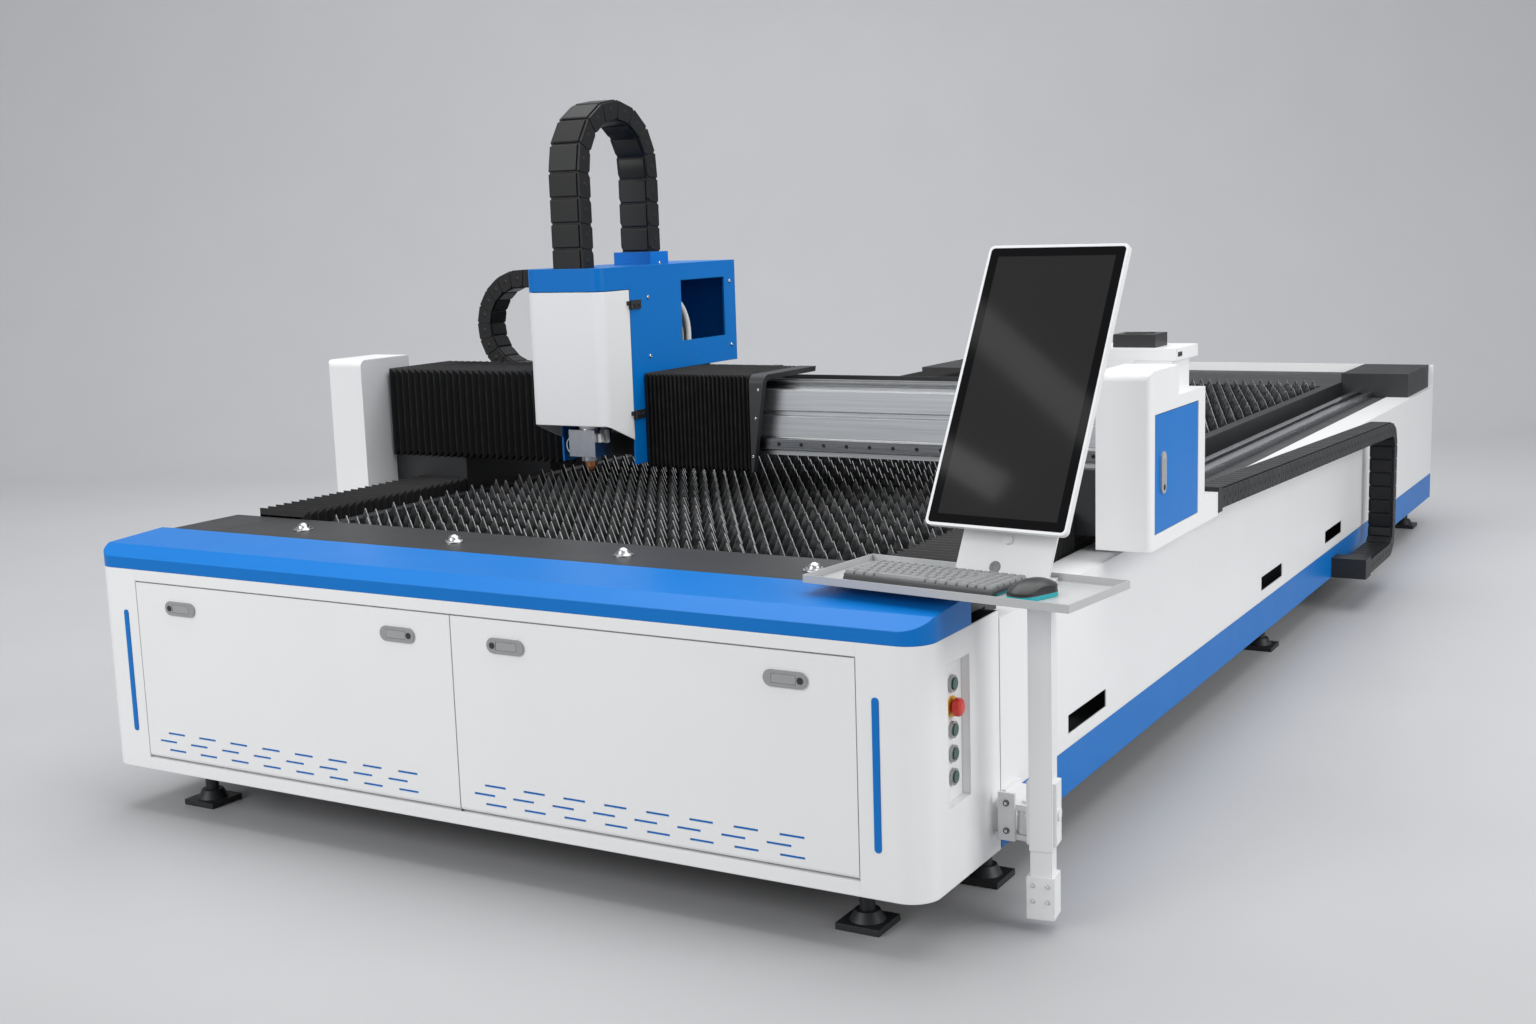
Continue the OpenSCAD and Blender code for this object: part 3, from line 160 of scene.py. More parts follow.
# Roughness that wanders a little round its own value
def wander(tree, given, pattern, out):
    shift = combine(tree, "MULTIPLY", combine(tree, "SUBTRACT", pattern, noiseMiddle), given["Spread"])
    tree.links.new(combine(tree, "ADD", given["Roughness"], shift, True), out["Roughness"])


grainForm = {"fineDetail": 3, "broadScale": 2.3, "broadDetail": 4, "broadSpan": (0.3, 0.7), "patchScale": 6.5,
             "patchDetail": 5}


def buildCoatGrain(form):
    tree, given, out = newGroup(
        "coatGrain",
        [("Color", "Color", (1, 1, 1, 1)), ("Shade", "Float", 0.06), ("Scale", "Float", 700.0),
         ("Roughness", "Float", 0.4), ("Spread", "Float", 0.1)],
        [("Color", "Color"), ("Roughness", "Float"), ("Height", "Float")],
    )
    broad = noise(tree, form["broadScale"], form["broadDetail"])
    darker = combine(tree, "MULTIPLY", span(tree, broad, *form["broadSpan"]), given["Shade"])
    kept = combineVectors(tree, "SCALE", given["Color"], combine(tree, "SUBTRACT", 1, darker))
    tree.links.new(kept, out["Color"])
    wander(tree, given, noise(tree, form["patchScale"], form["patchDetail"]), out)
    tree.links.new(noise(tree, given["Scale"], form["fineDetail"]), out["Height"])
    return tree


edgeForm = {"samples": 4, "bent": (0.99, 0.8), "patchDetail": 4, "patchSpan": (0.45, 0.7)}


# Rounded edges: the mask gives worn edges their colour, and on the bellows cloth it paints highlights along the folds
def buildRoundEdge(form):
    tree, given, out = newGroup(
        "roundEdge",
        [("Radius", "Float", 0.002), ("Wear", "Float", 1.0), ("Scale", "Float", 45.0)],
        [("Mask", "Float"), ("Normal", "Vector")],
    )
    bevel = tree.nodes.new("ShaderNodeBevel")
    bevel.samples = form["samples"]
    tree.links.new(given["Radius"], bevel.inputs["Radius"])
    rounded = bevel.outputs[0]
    plain = tree.nodes.new("ShaderNodeNewGeometry").outputs["Normal"]
    edge = span(tree, combineVectors(tree, "DOT_PRODUCT", rounded, plain), *form["bent"])
    patchy = span(tree, noise(tree, given["Scale"], form["patchDetail"]), *form["patchSpan"])
    wornAndHighlit = combine(tree, "MULTIPLY", edge, patchy)
    tree.links.new(combine(tree, "MULTIPLY", wornAndHighlit, given["Wear"], True), out["Mask"])
    tree.links.new(rounded, out["Normal"])
    return tree


dustForm = {"upward": (0.3, 0.95), "scale": 11.0, "detail": 6, "patchSpan": (0.35, 0.75), "least": 0.2}


def buildSettledDust(form):
    tree, given, out = newGroup(
        "settledDust",
        [("Color", "Color", (1, 1, 1, 1)), ("Dust", "Color", (0.5, 0.48, 0.45, 1)), ("Amount", "Float", 0.1)],
        [("Color", "Color"), ("Mask", "Float")],
    )
    parts = tree.nodes.new("ShaderNodeSeparateXYZ")
    tree.links.new(tree.nodes.new("ShaderNodeNewGeometry").outputs["Normal"], parts.inputs[0])
    upward = span(tree, parts.outputs["Z"], *form["upward"])
    patch = span(tree, noise(tree, form["scale"], form["detail"]), *form["patchSpan"], form["least"])
    mask = combine(tree, "MULTIPLY", combine(tree, "MULTIPLY", upward, patch), given["Amount"], True)
    tree.links.new(mixColor(tree, mask, given["Color"], given["Dust"]), out["Color"])
    tree.links.new(mask, out["Mask"])
    return tree


lineForm = {"detail": 4, "span": (0.3, 0.7)}


def buildBrushedLines(form):
    tree, given, out = newGroup(
        "brushedLines",
        [("Stretch", "Vector", (4, 600, 600)), ("Color", "Color", (0.6, 0.6, 0.6, 1)),
         ("Dark", "Color", (0.4, 0.4, 0.4, 1)), ("Roughness", "Float", 0.3), ("Spread", "Float", 0.2)],
        [("Color", "Color"), ("Roughness", "Float"), ("Height", "Float")],
    )
    drawn = combineVectors(tree, "MULTIPLY", ownPlace(tree), given["Stretch"])
    lines = noise(tree, 1.0, form["detail"], drawn)
    color = mixColor(tree, span(tree, lines, *form["span"]), given["Dark"], given["Color"])
    tree.links.new(color, out["Color"])
    wander(tree, given, lines, out)
    tree.links.new(lines, out["Height"])
    return tree


coatGrain = buildCoatGrain(grainForm)
roundEdge = buildRoundEdge(edgeForm)
settledDust = buildSettledDust(dustForm)
brushedLines = buildBrushedLines(lineForm)


def place(tree, group, **values):
    node = tree.nodes.new("ShaderNodeGroup")
    node.node_tree = group
    for label, value in values.items():
        feed(tree, node.inputs[label], value)
    return node.outputs


def opaque(color):
    return (*color, 1.0)


# What every finish has unless its own look says otherwise
plainLook = {"metal": 0.0, "coat": 0.0, "coatRough": 0.15, "specular": 0.5, "bump": 0.1, "depth": 0.0004}
shaderSockets = {"Metallic": "metal", "Coat Weight": "coat", "Coat Roughness": "coatRough",
                 "Specular IOR Level": "specular"}


def newMaterial(name, look, usual=plainLook):
    look = {**plainLook, **usual, **look}
    material = bpy.data.materials.new(name)
    material.use_nodes = True
    shader = material.node_tree.nodes["Principled BSDF"]
    for socket, key in shaderSockets.items():
        shader.inputs[socket].default_value = look[key]
    return material, material.node_tree, shader, look


def placeGrain(tree, color, look):
    return place(tree, coatGrain, Color=color, Shade=look["shade"], Scale=look["scale"], Roughness=look["rough"],
                 Spread=look["spread"])


def placeEdge(tree, look):
    return place(tree, roundEdge, Radius=look["radius"], Wear=look["wearAndHighlight"], Scale=look["edgePatchScale"])


# Colour, roughness and relief go to the material's own shader
def dress(tree, shader, color, surface, edge, look):
    tree.links.new(color, shader.inputs["Base Color"])
    tree.links.new(surface["Roughness"], shader.inputs["Roughness"])
    bump = tree.nodes.new("ShaderNodeBump")
    bump.inputs["Strength"].default_value = look["bump"]
    bump.inputs["Distance"].default_value = look["depth"]
    tree.links.new(surface["Height"], bump.inputs["Height"])
    tree.links.new(edge["Normal"], bump.inputs["Normal"])
    tree.links.new(bump.outputs[0], shader.inputs["Normal"])


paintBlur = 0.0002


# Share of the surface on the low side of a plane, in the object's own coordinates
def below(tree, axis, level, blur=paintBlur):
    parts = tree.nodes.new("ShaderNodeSeparateXYZ")
    tree.links.new(ownPlace(tree), parts.inputs[0])
    return span(tree, parts.outputs[axis], level - blur, level + blur, 1, 0)


coatedUsual = {"shade": 0.05, "scale": 700.0, "spread": 0.12, "radius": 0.0018, "wearAndHighlight": 0.3, "edgePatchScale": 45.0,
               "edgeWearAndHighlight": (0.6, 0.6, 0.6), "dust": 0.05, "dustColor": (0.55, 0.54, 0.52), "bands": []}
metalUsual = {"spread": 0.2, "radius": 0.001, "wearAndHighlight": 0.6, "edgePatchScale": 60.0, "edgeWearAndHighlight": (0.8, 0.8, 0.8)}


# Sprayed, moulded or woven surface: grain, rounded worn edges in their own colour, a little dust; on the bellows cloth
# the paler fold edges are painted highlights
def coatedFinish(name, given):
    material, tree, shader, look = newMaterial(name, given, coatedUsual)
    color = opaque(look["color"])
    for axis, level, lowColor in look["bands"]:
        color = mixColor(tree, below(tree, axis, level), color, opaque(lowColor))
    grain = placeGrain(tree, color, look)
    edge = placeEdge(tree, look)
    wornAndHighlit = mixColor(tree, edge["Mask"], grain["Color"], opaque(look["edgeWearAndHighlight"]))
    dusty = place(tree, settledDust, Color=wornAndHighlit, Dust=opaque(look["dustColor"]), Amount=look["dust"])
    dress(tree, shader, dusty["Color"], grain, edge, look)
    return material


# Drawn or ground metal: lines along one direction
def metalFinish(name, given):
    material, tree, shader, look = newMaterial(name, given, metalUsual)
    lines = place(tree, brushedLines, Stretch=look["stretch"], Color=opaque(look["color"]),
                  Dark=opaque(look["dark"]), Roughness=look["rough"], Spread=look["spread"])
    edge = placeEdge(tree, look)
    wornAndHighlit = mixColor(tree, edge["Mask"], lines["Color"], opaque(look["edgeWearAndHighlight"]))
    dress(tree, shader, wornAndHighlit, lines, edge, look)
    return material


# Heights over a door's face at which the paint ends and the lock begins
doorLines = {"paint": 0.0004, "lock": 0.0049, "top": 0.0057}
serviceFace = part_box("cover_door")[1][0] - doorLines["top"]
mouseSeam = 0.7088
blue, wornBlue = (0.0, 0.168, 0.560), (0.10, 0.34, 0.74)
lockBlack, wornWhite, turquoise = (0.02, 0.022, 0.022), (0.7, 0.7, 0.7), (0.010, 0.38, 0.42)
coatedLooks = {
    "whitePaint": {"color": (0.84, 0.843, 0.846), "rough": 0.34, "bump": 0.05, "edgeWearAndHighlight": wornWhite, "wearAndHighlight": 0.15,
                   "shade": 0.03, "dust": 0.02, "radius": 0.003},
    "bluePaint": {"color": blue, "rough": 0.38, "bump": 0.05, "edgeWearAndHighlight": wornBlue, "wearAndHighlight": 0.25, "dust": 0.0,
                  "radius": 0.003, "specular": 0.22},
    "doorPaint": {"color": (0.83, 0.833, 0.836), "rough": 0.34, "bump": 0.05, "edgeWearAndHighlight": wornWhite, "wearAndHighlight": 0.15,
                  "shade": 0.03, "dust": 0.02, "radius": 0.0012,
                  "bands": [("Y", frontY - doorLines["paint"], (0.30, 0.305, 0.31)),
                            ("Y", frontY - doorLines["lock"], lockBlack)]},
    "serviceDoorPaint": {"color": lockBlack, "rough": 0.38, "bump": 0.05, "edgeWearAndHighlight": wornBlue, "wearAndHighlight": 0.2, "dust": 0.0,
                         "radius": 0.0012, "specular": 0.22,
                         "bands": [("X", serviceFace + doorLines["lock"], (0.40, 0.405, 0.41)),
                                   ("X", serviceFace + doorLines["paint"], blue)]},
    "darkPaint": {"color": (0.016, 0.017, 0.019), "rough": 0.5, "bump": 0.12, "edgeWearAndHighlight": (0.09, 0.09, 0.095),
                  "wearAndHighlight": 0.8, "dust": 0.06, "dustColor": (0.16, 0.16, 0.16)},
    "frameGrey": {"color": (0.05, 0.052, 0.056), "rough": 0.55, "bump": 0.12, "edgeWearAndHighlight": (0.15, 0.15, 0.15),
                  "wearAndHighlight": 0.8, "dust": 0.15, "dustColor": (0.2, 0.2, 0.2)},
    "chainPlastic": {"color": (0.0085, 0.0088, 0.0095), "rough": 0.44, "specular": 0.35, "bump": 0.15,
                     "scale": 1600.0, "edgeWearAndHighlight": (0.07, 0.07, 0.075), "wearAndHighlight": 0.9, "dust": 0.03,
                     "dustColor": (0.12, 0.12, 0.12), "radius": 0.0012},
    # the cloth's paler edge colour, laid over every edge, is a painted highlight along the fold lines
    "bellowsCloth": {"color": (0.0045, 0.0045, 0.005), "rough": 0.5, "specular": 0.35, "bump": 0.25, "depth": 0.0003,
                     "shade": 0.3, "scale": 900.0, "spread": 0.2, "edgeWearAndHighlight": (0.055, 0.055, 0.058), "wearAndHighlight": 1.0,
                     "edgePatchScale": 30.0, "radius": 0.003, "dust": 0.03, "dustColor": (0.12, 0.12, 0.12)},
    "greyPlastic": {"color": (0.23, 0.235, 0.245), "rough": 0.45, "bump": 0.1, "scale": 1800.0, "wearAndHighlight": 0.2},
    "latchGrey": {"color": (0.33, 0.335, 0.34), "rough": 0.4, "bump": 0.06, "scale": 1500.0, "wearAndHighlight": 0.4},
    "blackPlastic": {"color": (0.012, 0.012, 0.013), "rough": 0.38, "bump": 0.08, "scale": 1800.0, "wearAndHighlight": 0.3,
                     "edgeWearAndHighlight": (0.06, 0.06, 0.06)},
    "whitePlastic": {"color": (0.82, 0.825, 0.83), "rough": 0.3, "bump": 0.03, "wearAndHighlight": 0.1, "dust": 0.02},
    "hoseWhite": {"color": (0.80, 0.80, 0.79), "rough": 0.42, "bump": 0.06, "wearAndHighlight": 0.1, "dust": 0.03},
    "greenPlastic": {"color": (0.010, 0.075, 0.045), "rough": 0.28, "bump": 0.02, "coat": 0.3, "wearAndHighlight": 0.1},
    "redPlastic": {"color": (0.62, 0.020, 0.010), "rough": 0.3, "bump": 0.02, "coat": 0.3, "wearAndHighlight": 0.1,
                   "edgeWearAndHighlight": (0.8, 0.2, 0.15)},
    "mouseShell": {"color": (0.020, 0.021, 0.022), "rough": 0.36, "bump": 0.05, "scale": 1800.0, "wearAndHighlight": 0.1,
                   "bands": [("Z", mouseSeam, turquoise)]},
    "trayPaint": {"color": (0.50, 0.505, 0.508), "rough": 0.3, "bump": 0.03, "wearAndHighlight": 0.3,
                  "edgeWearAndHighlight": (0.75, 0.75, 0.75), "dust": 0.02, "radius": 0.0012},
    "keyboardGrey": {"color": (0.060, 0.062, 0.064), "rough": 0.42, "bump": 0.08, "scale": 1800.0, "wearAndHighlight": 0.2},
    "turquoisePlastic": {"color": turquoise, "rough": 0.35, "bump": 0.03, "wearAndHighlight": 0.1},
    "keyTops": {"color": (0.240, 0.244, 0.250), "rough": 0.48, "bump": 0.12, "scale": 1900.0, "wearAndHighlight": 0.5,
                "edgeWearAndHighlight": (0.30, 0.30, 0.30), "radius": 0.0009},
    "yellowSheath": {"color": (0.55, 0.40, 0.030), "rough": 0.42, "bump": 0.05, "wearAndHighlight": 0.1, "dust": 0.02},
}
metalLooks = {
    "beamAluminium": {"color": (0.62, 0.63, 0.64), "dark": (0.50, 0.51, 0.52), "metal": 0.85, "rough": 0.36,
                      "stretch": (3, 500, 500), "bump": 0.06},
    "beamRailSteel": {"color": (0.30, 0.305, 0.31), "dark": (0.20, 0.205, 0.21), "metal": 1.0, "rough": 0.30,
                      "stretch": (5, 300, 500), "bump": 0.04},
    "slatEdge": {"color": (0.74, 0.745, 0.75), "dark": (0.34, 0.34, 0.35), "metal": 0.35, "rough": 0.42,
                 "stretch": (40, 500, 40), "bump": 0.05, "radius": 0.0004},
    "railSteel": {"color": (0.55, 0.56, 0.57), "dark": (0.36, 0.37, 0.38), "metal": 1.0, "rough": 0.24,
                  "stretch": (300, 5, 500), "bump": 0.04},
    "brightSteel": {"color": (0.70, 0.70, 0.71), "dark": (0.52, 0.52, 0.53), "metal": 1.0, "rough": 0.22,
                    "stretch": (400, 400, 60), "bump": 0.03},
    "copper": {"color": (0.72, 0.33, 0.16), "dark": (0.46, 0.18, 0.08), "metal": 1.0, "rough": 0.28,
               "stretch": (500, 500, 80), "bump": 0.04},
}
finishes = {name: coatedFinish(name, look) for name, look in coatedLooks.items()}
finishes.update({name: metalFinish(name, look) for name, look in metalLooks.items()})

# Slats: dark rolled steel, brighter towards the tips
slatLook = {"color": (0.035, 0.036, 0.038), "bright": (0.46, 0.465, 0.47), "rough": 0.42, "metal": 0.75, "bump": 0.25,
            "depth": 0.0006, "shade": 0.5, "scale": 240.0, "spread": 0.35, "radius": 0.0034, "wearAndHighlight": 1.0,
            "edgePatchScale": 90.0, "low": 0.668, "reach": 0.022, "tipBrightening": 0.55, "patchScale": 60.0, "patchDetail": 5,
            "patchSpan": (0.35, 0.65), "least": 0.1}


def slatFinish(given):
    material, tree, shader, look = newMaterial("slatSteel", given)
    grain = placeGrain(tree, opaque(look["color"]), look)
    edge = placeEdge(tree, look)
    above = combine(tree, "SUBTRACT", 1, below(tree, "Z", look["low"], look["reach"]))
    patch = span(tree, noise(tree, look["patchScale"], look["patchDetail"]), *look["patchSpan"], look["least"])
    tipBrightening = combine(tree, "MULTIPLY", combine(tree, "MULTIPLY", above, look["tipBrightening"]), patch)
    mask = combine(tree, "MAXIMUM", tipBrightening, edge["Mask"])
    dress(tree, shader, mixColor(tree, mask, grain["Color"], opaque(look["bright"])), grain, edge, look)
    return material


finishes["slatSteel"] = slatFinish(slatLook)

# Button bezels: turned metal, with the yellow ring of the emergency button
ringLook = {"color": (0.42, 0.43, 0.44), "yellow": (0.78, 0.42, 0.010), "low": 0.440, "high": 0.498, "rough": 0.3,
            "metal": 0.6, "bump": 0.03, "shade": 0.2, "scale": 900.0, "spread": 0.2, "radius": 0.0006, "wearAndHighlight": 0.6,
            "edgePatchScale": 80.0}


def ringFinish(given):
    material, tree, shader, look = newMaterial("bezelMetal", given)
    grain = placeGrain(tree, opaque(look["color"]), look)
    inside = combine(tree, "SUBTRACT", below(tree, "Z", look["high"]), below(tree, "Z", look["low"]))
    color = mixColor(tree, inside, grain["Color"], opaque(look["yellow"]))
    dress(tree, shader, color, grain, placeEdge(tree, look), look)
    return material


finishes["bezelMetal"] = ringFinish(ringLook)

# Screen: black glass over a slightly paler display
screenLook = {"border": 0.019, "blur": 0.0008, "color": (0.0035, 0.0035, 0.004), "display": (0.021, 0.021, 0.0215),
              "rough": 0.07, "specular": 0.13, "bump": 0.0, "shade": 0.04, "scale": 900.0, "spread": 0.05,
              "radius": 0.0006, "wearAndHighlight": 0.0, "edgePatchScale": 40.0}
glass = bpy.data.objects["monitor_glass"].data
screenOut = min(glass.polygons, key=lambda face: face.area * face.normal.y).normal.copy()  # towards the user
screenAcross = Vector((0, 0, 1)).cross(screenOut).normalized()
screenUp = screenOut.cross(screenAcross)


# How far the surface lies along a direction
def along(tree, direction):
    return combineVectors(tree, "DOT_PRODUCT", ownPlace(tree), direction)


def screenFinish(given):
    material, tree, shader, look = newMaterial("screenGlass", given)
    strips = []
    for axis in (screenAcross, screenUp):
        reach = [corner.co.dot(axis) for corner in glass.vertices]
        away = combine(tree, "SUBTRACT", along(tree, axis), (min(reach) + max(reach)) / 2)
        half = (max(reach) - min(reach)) / 2 - look["border"]
        strips.append(span(tree, combine(tree, "ABSOLUTE", away, 0), half - look["blur"], half + look["blur"], 1, 0))
    inside = combine(tree, "MULTIPLY", *strips)
    grain = placeGrain(tree, mixColor(tree, inside, opaque(look["color"]), opaque(look["display"])), look)
    dress(tree, shader, grain["Color"], grain, placeEdge(tree, look), look)
    return material


finishes["screenGlass"] = screenFinish(screenLook)

nodeFinishes = {
    "whitePaint": ["wall_panels", "cabinet_shell", "gantry_covers", "head_cover", "arm_bracket", "console_column"],
    "doorPaint": ["front_door_left", "front_door_right"],
    "serviceDoorPaint": ["cover_door"],
    "whitePlastic": ["monitor_frame", "monitor_stand"],
    "trayPaint": ["console_tray"],
    "bluePaint": ["blue_skirts", "front_cap", "vent_back_left", "vent_back_right", "head_housing"],
    "darkPaint": ["rim_plates", "table_sides", "levelling_feet", "gantry_saddles", "y_motors", "x_chain_tray",
                  "cover_hinge_leaves", "head_motors", "carriage_plate"],
    "frameGrey": ["bed_frame", "cabinet_lining", "cabinet_equipment"],
    "slatSteel": ["slats"],
    "railSteel": ["y_rails"],
    "beamRailSteel": ["x_rails"],
    "beamAluminium": ["gantry_beam"],
    "brightSteel": ["ball_transfers", "cutting_head"],
    "copper": ["nozzle"],
    "chainPlastic": ["x_chain", "y_chain", "z_chain"],
    "bellowsCloth": ["x_bellows_left", "x_bellows_right", "y_bellows"],
    "latchGrey": ["latch_paddle_1", "latch_paddle_2", "latch_paddle_3", "latch_paddle_4", "cover_handle"],
    "keyTops": ["keyboard"],
    "mouseShell": ["mouse"],
    "blackPlastic": ["fan_box", "fan_rotor"],
    "greenPlastic": ["push_button_1", "push_button_2", "push_button_3", "push_button_4"],
    "redPlastic": ["emergency_button"],
    "bezelMetal": ["button_bezels"],
    "screenGlass": ["monitor_glass"],
    "hoseWhite": ["sensor_lead", "head_hose"],
}
for finish, nodes in nodeFinishes.items():
    for node in nodes:
        solid = bpy.data.objects[node]
        solid.data.materials.clear()
        solid.data.materials.append(finishes[finish])
print("finishes made")


# A piece from points and faces, smooth except where it turns by more than the corner's angle
def newPiece(name, points, faces, finish, corner):
    mesh = bpy.data.meshes.new(name)
    mesh.from_pydata([tuple(p) for p in points], [], faces)
    mesh.validate()
    form = bmesh.new()
    form.from_mesh(mesh)
    bmesh.ops.recalc_face_normals(form, faces=form.faces[:])
    form.to_mesh(mesh)
    form.free()
    mesh.shade_smooth()
    mesh.set_sharp_from_angle(angle=math.radians(corner))
    mesh.materials.append(finishes[finish])
    piece = bpy.data.objects.new(name, mesh)
    bpy.context.scene.collection.objects.link(piece)
    return piece


# Faces round a stack of rings with the same count of points, closed at both ends
def tubeFaces(base, rings, count):
    faces = []
    for ring in range(rings - 1):
        for k in range(count):
            a, b = base + ring * count + k, base + ring * count + (k + 1) % count
            faces.append((a, b, b + count, a + count))
    faces.append(tuple(base + k for k in range(count - 1, -1, -1)))
    faces.append(tuple(base + (rings - 1) * count + k for k in range(count)))
    return faces


roundSteps = 4  # of a cord's section, to a quarter turn


# A lead or hose: one open curve between two fixed ends
def addCord(name, look, route):
    curve = bpy.data.curves.new(name, "CURVE")
    curve.dimensions = "3D"
    curve.bevel_depth = look["thick"] / 2
    curve.bevel_resolution = roundSteps
    curve.use_fill_caps = True
    spline = curve.splines.new("POLY")
    spline.points.add(len(route) - 1)
    for point, spot in zip(spline.points, route):
        point.co = (*spot, 1)
    curve.materials.append(finishes[look["finish"]])
    cord = bpy.data.objects.new(name, curve)
    bpy.context.scene.collection.objects.link(cord)
    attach(cord, look["body"])
    if "node" in look:
        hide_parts(look["node"])


# The lead of the height sensor, a short loop at the cutting head
leadLook = {"start": (-0.3522, 0.960, 0.827), "bend": 0.024, "steps": 16, "thick": 0.003, "finish": "hoseWhite",
            "slot": "white_plastic", "body": "z_head", "node": "sensor_lead", "stiffness": "medium"}


def leadRoute(look):
    x, y, z = look["start"]
    turns = [math.pi * k / look["steps"] for k in range(look["steps"] + 1)]
    return [at(x - look["bend"] * math.sin(t), y, z + look["bend"] * math.cos(t)) for t in turns]


addCord("sensorLead", leadLook, leadRoute(leadLook))

# The hose in the head's window with the cables under it, from the shelf round to the motor
windowBend = {"y": 1.285, "z": 1.100, "shelf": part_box("head_hose")[0][2], "motor": 1.2702, "steps": 20}
windowLooks = {
    "headHose": {"bend": 0.110, "x": -0.253, "thick": 0.018, "finish": "hoseWhite", "slot": "white_plastic",
                 "node": "head_hose"},
    "windowCableOuter": {"bend": 0.088, "x": -0.255, "thick": 0.016, "finish": "blackPlastic",
                         "slot": "black_plastic"},
    "windowCableMiddle": {"bend": 0.070, "x": -0.247, "thick": 0.013, "finish": "chainPlastic",
                          "slot": "black_plastic"},
    "windowCableYellow": {"bend": 0.057, "x": -0.238, "thick": 0.007, "finish": "yellowSheath",
                          "slot": "grey_plastic"},
    "windowCableInner": {"bend": 0.046, "x": -0.252, "thick": 0.009, "finish": "blackPlastic",
                         "slot": "black_plastic"},
}


def windowRoute(look, way):
    x, bend = look["x"], look["bend"]
    route = [at(x, way["y"] + bend, way["shelf"]), at(x, way["y"] + bend, (way["shelf"] + way["z"]) / 2)]
    for k in range(way["steps"] + 1):
        turn = math.pi / 2 * k / way["steps"]
        route.append(at(x, way["y"] + bend * math.cos(turn), way["z"] + bend * math.sin(turn)))
    return route + [at(x, way["motor"], way["z"] + bend)]


for label, look in windowLooks.items():
    addCord(label, {**look, "body": "carriage", "stiffness": "stiff"}, windowRoute(look, windowBend))
print("leads and hoses laid")

# Bellows: a fold is partly a straight tent and partly a soft wave
foldForm = {"tent": 0.72, "wave": 0.28, "perFold": 8, "sheet": 0.002, "corner": 30}


# Rings along the run, each with its share of the way and its push out
def pleats(folds, depth):
    rings = []
    steps = foldForm["perFold"]
    for k in range(folds * steps + 1):
        phase = (k / steps) % 1
        tent = 1 - abs(2 * phase - 1)
        wave = 0.5 - 0.5 * math.cos(2 * math.pi * phase)
        rings.append((k / (folds * steps), depth * (foldForm["tent"] * tent + foldForm["wave"] * wave)))
    return rings


def sweepSheet(name, rings, section, spot):
    points = [spot(share, a, b) for share, push in rings for a, b in section(push)]
    faces = tubeFaces(0, len(rings), len(section(0)))
    return newPiece(name, points, faces, "bellowsCloth", foldForm["corner"])


def ends(node, axis):
    low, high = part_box(node)
    shift = (midX, frontY, 0)[axis]
    return low[axis] - shift, high[axis] - shift


# Beam bellows, an L of cloth over the beam's front and top
beamBellows = {"front": 1.092, "back": 1.360, "top": 1.014, "low": 0.772, "lip": 0.006, "deepest": 0.0138,
               "leftPitch": 0.0240, "leftFold": 0.0138, "rightPitch": 0.0130, "rightFold": 0.009, "gap": 0.0002,
               "middle": (1.1, 0.9)}
endPlate = {"thin": 0.006, "wide": 0.046, "front": 1.076, "inner": 1.094, "low": 0.758, "top": 1.014, "strip": 0.014,
            "back": 1.360, "corner": 0.024, "innerCorner": 0.012, "arc": 8}


def beamSection(push):
    b, sheet = beamBellows, foldForm["sheet"]
    front, top, low = b["front"] - push, b["top"] - b["deepest"] + push, b["low"] - push
    inner = b["front"] + b["lip"]
    return [(b["back"], top), (front, top), (front, low), (inner, low), (inner, low + sheet),
            (front + sheet, low + sheet), (front + sheet, top - sheet), (b["back"], top - sheet)]


def addBeamBellows(name, x0, x1, pitch, fold):
    b = beamBellows
    rings = [(share, push + b["deepest"] - fold) for share, push in pleats(round((x1 - x0) / pitch), fold)]
    piece = sweepSheet(name, rings, beamSection, lambda s, y, z: at(x0 + (x1 - x0) * s, y, z))
    return piece


left = ends("x_bellows_left", 0)
leftBellows = addBeamBellows("beamBellowsLeft", *left, beamBellows["leftPitch"], beamBellows["leftFold"])
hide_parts("x_bellows_left")
at(left[0], *beamBellows["middle"])
at(left[1], *beamBellows["middle"])
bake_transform(leftBellows)

right = ends("x_bellows_right", 0)
plateX = right[1] - endPlate["wide"]
rightBellows = addBeamBellows("beamBellowsRight", right[0], plateX - beamBellows["gap"], beamBellows["rightPitch"],
                              beamBellows["rightFold"])
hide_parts("x_bellows_right")
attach(rightBellows, "carriage")


# The right bellows' end plate, wider towards its top
def addEndPlate(look, x0):
    def arc(y, z, radius):
        turns = [math.radians(180 - 90 * k / look["arc"]) for k in range(look["arc"] + 1)]
        return [(y + radius * math.cos(t), z + radius * math.sin(t)) for t in turns]
    c, d = look["corner"], look["innerCorner"]
    edgeWearAndHighlight = look["top"] - look["strip"]
    outline = [(look["inner"], look["low"]), (look["front"], look["low"])]
    outline += arc(look["front"] + c, look["top"] - c, c)
    outline += [(look["back"], look["top"]), (look["back"], edgeWearAndHighlight)]
    outline += arc(look["inner"] + d, edgeWearAndHighlight - d, d)[::-1]
    slope = (look["wide"] - look["thin"]) / (look["top"] - look["low"])
    points = [at(x0, y, z) for y, z in outline]
    points += [at(x0 + look["thin"] + slope * (z - look["low"]), y, z) for y, z in outline]
    plate = newPiece("bellowsEndPlate", points, tubeFaces(0, 2, len(outline)), "darkPaint", 30)
    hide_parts("x_bellows_right")
    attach(plate, "carriage")


addEndPlate(endPlate, plateX)
print("beam bellows sewn")

# Rail bellows along the bed, an arch of cloth over each rail
railBellows = {"inner": 0.852, "outer": 1.003, "low": 0.604, "top": 0.686, "hem": 0.001, "fold": 0.0138,
               "pitch": 0.029, "front": 0.440, "back": 4.780, "gap": 0.0003, "level": 0.65, "slack": 0.21}


